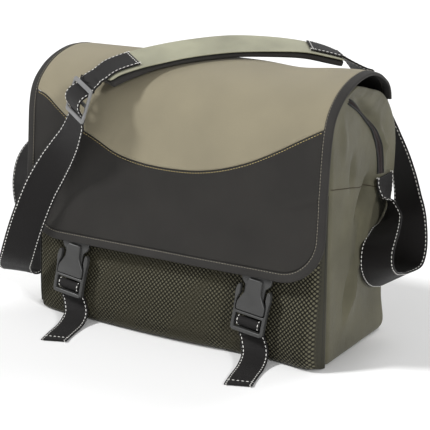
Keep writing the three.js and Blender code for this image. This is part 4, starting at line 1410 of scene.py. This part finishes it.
left_stations = refined(np.vstack([on_pad(left_end_row, 0, end_spans), placed(left_above_rows), in_slider(),
                                   stations_from(left_below_rows)]))
right_pad = on_pad(len(pad_rows) - 1, right_end_row, end_spans)
right_stations = refined(np.vstack([stations_from(right_rows), right_pad * [1, 1, 1, -1, -1, -1]]))
strap_left = band("strap_webbing_left", left_stations, webbing_width, webbing_thick, webbing_finish)
strap_right = band("strap_webbing_right", right_stations, webbing_width, webbing_thick, webbing_finish)
finish_piece(strap_left, ["shoulder_strap_left"])
finish_piece(strap_right, ["shoulder_strap_right"])

# %% Stitches of the shoulder strap
left_run = distances(left_stations[:, :3])[-1]
right_run = distances(right_stations[:, :3])[-1]
for name, stations, place in (("left", left_stations, strap_stitch_inset),
                              ("right", right_stations, right_run - strap_stitch_inset)):
    lines = edge_rows(stations, webbing_width, webbing_thick, strap_stitch_inset)
    lines += sewn_across(stations, webbing_width, webbing_thick, strap_stitch_inset, place)
    stitched("strap_stitches_" + name, lines, thread_finish, "webbing")
print("strap lengths:", round(left_run, 3), round(right_run, 3))

# %% [markdown]
# ## Belts of the buckles
# Each buckle hangs on a short belt under the flap. A second belt comes from the foot of the pocket, passes
# behind the lower half of the buckle, over its bar, and ends as a free tail on the floor.

# %% Frame of a buckle
buckle_x = {"left": -0.663 * half_width, "right": 0.595 * half_width}
buckle_z = flap_rows[-1][1] * flap_height - buckle_drop
buckle_lean = math.radians(7)
buckle_tilt = math.radians(8.5)


def buckle_axes():
    """The directions across, up and out of the bag, for both buckles."""
    lean = np.array([[math.cos(buckle_lean), 0, math.sin(buckle_lean)], [0, 1, 0],
                     [-math.sin(buckle_lean), 0, math.cos(buckle_lean)]])
    tilt = np.array([[1, 0, 0], [0, math.cos(buckle_tilt), math.sin(buckle_tilt)],
                     [0, -math.sin(buckle_tilt), math.cos(buckle_tilt)]])
    turn = lean @ tilt
    return turn[:, 0], turn[:, 2], np.cross(turn[:, 0], turn[:, 2])


def pocket_front(x, z):
    """The foremost place of the pocket's cloth within a belt's width of x."""
    x, z = np.broadcast_arrays(np.asarray(x, float), np.asarray(z, float))
    down = np.interp(z / body_height, *np.array(pocket_rows).T)
    shares = np.linspace(-0.5, 0.5, 5)
    over = [np.interp((x + s * belt_width) / half_width, *np.array(pocket_columns).T) for s in shares]
    return -half_depth - gap - pocket_cloth - pocket_swell * down * np.max(over, axis=0)


buckle_turn = np.array(buckle_axes())
buckle_middle = {side: np.array([x, pocket_front(x, buckle_z) - buckle_stand_off, buckle_z])
                 for side, x in buckle_x.items()}


def in_buckle(side, across, up, out):
    """Places given in the frame of a buckle."""
    return buckle_middle[side] + np.c_[across, up, out] @ buckle_turn


# %% Belts
# Columns in the buckle's frame, as shares of belt_width: up, forward.
flap_belt_rows = [
    [1.467, 0.103],
    [1.267, 0.1],
    [1.153, 0.083],
    [1.107, 0],
    [1.153, -0.083],
    [1.267, -0.1],
    [1.667, -0.1],
]
# Heights of the belt under the flap, as shares of flap_height.
flap_belt_tops = [0.433, 0.407, 0.38]
# Columns in the buckle's frame, as shares of belt_width: up, forward, across.
belt_in_buckle = [
    [-1, -0.22, 0.06],
    [-0.817, -0.193, 0.02],
    [-0.66, -0.113, 0],
    [-0.573, -0.013, 0],
    [-0.577, 0.053, 0],
    [-0.64, 0.097, 0],
    [-0.76, 0.097, 0],
    [-0.833, 0.053, 0],
    [-0.88, -0.033, 0],
    [-0.947, -0.113, 0.033],
    [-1.033, -0.147, 0.06],
    [-1.133, -0.153, 0.1],
]
# Columns: x and y from where the belt leaves the buckle, as shares of belt_width; height above tail_rest,
# as a share of the drop; turn of its width in degrees.
tail_rows = [
    [0.07, 0.01, 0.79, 6],
    [0.18, -0.04, 0.477, 10],
    [0.28, -0.25, 0.216, 16],
    [0.4, -0.73, 0.052, 24],
    [0.54, -1.38, 0.007, 30],
    [0.69, -1.93, 0, 35],
    [0.78, -2.2, 0.01, 36],
]
# Heights of the belt against the foot of the pocket, as shares of buckle_z.
low_belt_heights = [0.107, 0.169, 0.23, 0.306]
low_belt_shift = 0.15


def repeated(direction, points):
    return np.tile(direction, (len(points), 1))


def flap_belt(side):
    z = np.array(flap_belt_tops) * flap_height
    x = buckle_x[side] + (z - buckle_z) * math.tan(buckle_lean)
    top = flap_at(x, length_at_height(z), -flap_cloth / 2 - loose_gap - belt_thick / 2)
    rows = finer(flap_belt_rows, 2) * belt_width
    low = in_buckle(side, 0 * rows[:, 0], rows[:, 0], rows[:, 1])
    across = np.vstack([repeated([1, 0, 0], top), repeated(buckle_turn[0], low)])
    return refined(np.c_[np.vstack([top, low]), across])


def front_belt(side):
    z = np.array(low_belt_heights) * buckle_z
    x = buckle_x[side] + (z - buckle_z) * math.tan(buckle_lean) + low_belt_shift * belt_width
    low = np.c_[x, pocket_front(x, z) - loose_gap - belt_thick / 2, z]
    rows = finer(belt_in_buckle, 2) * belt_width
    looped = in_buckle(side, rows[:, 2], rows[:, 0], rows[:, 1])
    tail_table = finer(tail_rows, 2)
    drop = looped[-1, 2] - tail_rest
    tail = np.c_[looped[-1, :2] + tail_table[:, :2] * belt_width, tail_rest + tail_table[:, 2] * drop]
    turn = np.radians(tail_table[:, 3])
    across = np.vstack([repeated([1, 0, 0], low), repeated(buckle_turn[0], looped),
                        np.c_[np.cos(turn), np.sin(turn), 0 * turn]])
    return refined(np.c_[np.vstack([low, looped, tail]), across])


belts = {}
for side in ("left", "right"):
    belts["flap_belt_" + side] = flap_belt(side)
    belts["front_belt_" + side] = front_belt(side)
for name, stations in belts.items():
    made = band(name, stations, belt_width, belt_thick, webbing_finish)
    node = name.replace("flap_belt", "flap_strap").replace("front_belt", "front_strap")
    finish_piece(made, [node])
    lines = edge_rows(stations, belt_width, belt_thick, belt_stitch_inset)
    if name.startswith("front"):
        length = distances(stations[:, :3])[-1]
        lines += sewn_across(stations, belt_width, belt_thick, belt_stitch_inset, length - tail_stitch_inset)
    stitched(name + "_stitches", lines, thread_finish, "webbing")

# %% [markdown]
# ## Buckles and slider
# These are moulded plastic plates. Each is an outline with rounded corners, thickened and given a rounded
# edge. The two halves of a buckle are a socket with a raised plate, and a frame whose prongs show at the
# sides.

# %% Moulded plates
def rounded(outline, radius, steps=4):
    """An outline with its corners turned into small arcs."""
    made = []
    points = np.asarray(outline, float)
    for before, here, after in zip(np.roll(points, 1, axis=0), points, np.roll(points, -1, axis=0)):
        reach = [min(radius, np.linalg.norm(other - here) * 0.45) for other in (before, after)]
        start, end = here + unit(before - here) * reach[0], here + unit(after - here) * reach[1]
        for t in np.linspace(0, 1, steps + 1):
            made.append(start * (1 - t) ** 2 + here * 2 * t * (1 - t) + end * t ** 2)
    return np.array(made)


def moulded(outline, holes, low, high, edge):
    """Points and faces of a plate with a rounded edge, between two heights."""
    curve = bpy.data.curves.new("plate_outline", "CURVE")
    curve.dimensions = "2D"
    curve.fill_mode = "BOTH"
    curve.extrude = (high - low) / 2 - edge
    curve.bevel_depth = edge
    curve.bevel_resolution = 3
    curve.offset = -edge
    for ring in (outline, *holes):
        line = curve.splines.new("POLY")
        line.points.add(len(ring) - 1)
        line.points.foreach_set("co", np.c_[ring, np.zeros(len(ring)), np.ones(len(ring))].ravel())
        line.use_cyclic_u = True
    carrier = bpy.data.objects.new("plate_outline", curve)
    scene.collection.objects.link(carrier)
    mesh = bpy.data.meshes.new_from_object(carrier.evaluated_get(bpy.context.evaluated_depsgraph_get()))
    bpy.data.objects.remove(carrier)
    points = np.array([v.co for v in mesh.vertices]) + [0, 0, (low + high) / 2]
    return points, [tuple(p.vertices) for p in mesh.polygons]


def plates(name, parts, axes, middle, finish, replaced):
    """One piece from several moulded plates, set in a frame of three axes."""
    points, faces, start = [], [], 0
    for part_points, part_faces in parts:
        points.append(part_points @ np.array(axes) + middle)
        faces += [tuple(start + i for i in face) for face in part_faces]
        start += len(part_points)
    made = piece(name, np.vstack(points), faces, finish, smooth=False)
    outward(made, weld=0.001 * mm)
    made.data.polygons.foreach_set("use_smooth", [True] * len(made.data.polygons))
    made.data.set_sharp_from_angle(angle=math.radians(35))
    return finish_piece(made, replaced)


def both_sides(right_half):
    """An outline from its right half."""
    right = np.asarray(right_half, float)
    return np.vstack([right, right[::-1] * [-1, 1]])


def hole(half, low, high):
    return np.array([[-half, low], [-half, high], [half, high], [half, low]])


# %% Buckles
# Columns: across and up, as shares of belt_width.
socket_half = [[0.583, -0.333], [0.583, 0.033], [0.413, 0.167], [0.4, 0.617], [0.517, 0.717], [0.6, 0.833],
               [0.617, 1.283], [0.55, 1.35]]
socket_plate_half = [[0.567, -0.32], [0.567, -0.017], [0.32, 0.4], [0.273, 0.917]]
prong_half = [[0.58, -1.1], [0.667, -1.02], [0.667, -0.347], [0.68, 0], [0.713, 0.267], [0.693, 0.5],
              [0.613, 0.62], [0.54, 0.567], [0.52, 0.267], [0.597, 0.053], [0.597, -0.347]]
middle_bar = np.array([[-0.567, -0.76], [0.567, -0.76], [0.567, -0.653], [-0.567, -0.653]])
corner = 2.4 * mm


def buckle(side):
    half = buckle_thick / 2
    slot = rounded(hole(0.54, 1.047, 1.207) * belt_width, 1 * mm)
    socket = [moulded(rounded(both_sides(socket_half) * belt_width, corner), [slot], -half, half, 1 * mm),
              moulded(rounded(both_sides(socket_plate_half) * belt_width, corner), [],
                      0, half + plate_thick, 1.6 * mm)]
    window = rounded(hole(0.54, -0.953, -0.453) * belt_width, 1.2 * mm)
    prong = [moulded(rounded(both_sides(prong_half) * belt_width, corner), [window],
                     -frame_back, frame_front, 1.3 * mm),
             moulded(middle_bar * belt_width, [], -half, half, 0.9 * mm)]
    for part, made in (("socket", socket), ("prong", prong)):
        plates(f"buckle_{part}_body_{side}", made, buckle_turn, buckle_middle[side], buckle_finish,
               [f"buckle_{part}_{side}"])


for side in ("left", "right"):
    buckle(side)

# %% Slider
slider_half = np.array([slider_width, slider_length]) / 2
slider_outline = rounded([[1, -1] * slider_half, [1, 1] * slider_half, [-1, 1] * slider_half,
                          [-1, -1] * slider_half], 4 * mm)
inner = slider_half[0] - slider_side
edge = slider_half[1] - slider_bar
windows = [rounded(hole(inner, slider_mid_bar / 2, edge), 1.5 * mm),
           rounded(hole(inner, -edge, -slider_mid_bar / 2), 1.5 * mm)]
plates("slider_body", [moulded(slider_outline, windows, -slider_thick / 2, slider_thick / 2, 1.2 * mm)],
       (slider_across, -slider_down, slider_out), slider_middle, slider_finish,
       ["strap_slider"])

# %% [markdown]
# ## The zip
# The zip runs up the right side, over the top and down the left side. A dark tape lies between two pipings,
# and a row of brown teeth runs along its middle. The teeth are beads from the tree of the stitches, set
# broadside.

# %% Zip
# Columns: y as a share of half_depth, z of body_height, for the right side from the tab upwards.
zip_rows = [
    [0.56, 0.647],
    [0.55, 0.7],
    [0.51, 0.75],
    [0.43, 0.788],
    [0.29, 0.832],
    [0.1, 0.877],
    [-0.13, 0.92],
    [-0.46, 0.965],
]
# Heights between which the zip narrows, as shares of body_height.
zip_narrows = [0.8, 0.93]
zip_side_points = 50
zip_top_points = 30
zip_top = np.array([-0.56 * half_depth, 0.974 * body_height])
up_side = row_at(zip_rows, np.linspace(0, len(zip_rows) - 1, zip_side_points)) * [half_depth, body_height]
up_side = np.c_[np.full(zip_side_points, 0.985 * half_width), up_side]
over_top = np.c_[np.linspace(0.93 * half_width, 0, zip_top_points), np.tile(zip_top, (zip_top_points, 1))]
half_zip, half_ups = on_skin(np.vstack([up_side, over_top]), 0)
zip_middle = np.vstack([half_zip, mirrored(half_zip[-2::-1])])
zip_ups = np.vstack([half_ups, mirrored(half_ups[-2::-1])])
for turn in range(3):
    zip_middle[1:-1] = (zip_middle[:-2] + zip_middle[1:-1] * 2 + zip_middle[2:]) / 4
    zip_ups[1:-1] = unit(zip_ups[:-2] + zip_ups[1:-1] * 2 + zip_ups[2:])
zip_across = unit(np.cross(np.gradient(zip_middle, axis=0), zip_ups))
zip_wide = np.interp(zip_middle[:, 2] / body_height, zip_narrows, [zip_width, zip_top_width])
tape_stations = np.c_[zip_middle + zip_ups * zip_tape_lift, zip_across]
tape = band("zip_tape_cloth", tape_stations, zip_wide, zip_tape_thick, zip_finish)
finish_piece(tape, ["zip_chain"])
grown("zip_teeth", [(zip_middle + zip_ups * tooth_lift, zip_ups)], beads, "zip", Spacing=tooth_spacing,
      Long=tooth_length, Broad=tooth_breadth, High=tooth_height, Thread=coil_finish)
for side, sign in (("front", -1), ("back", 1)):
    beside = sign * (zip_wide[:, None] / 2 + zip_piping_away)
    cord("zip_piping_" + side, zip_middle + zip_across * beside + zip_ups * zip_piping_lift,
         zip_ups, zip_piping_radius, piping_finish)
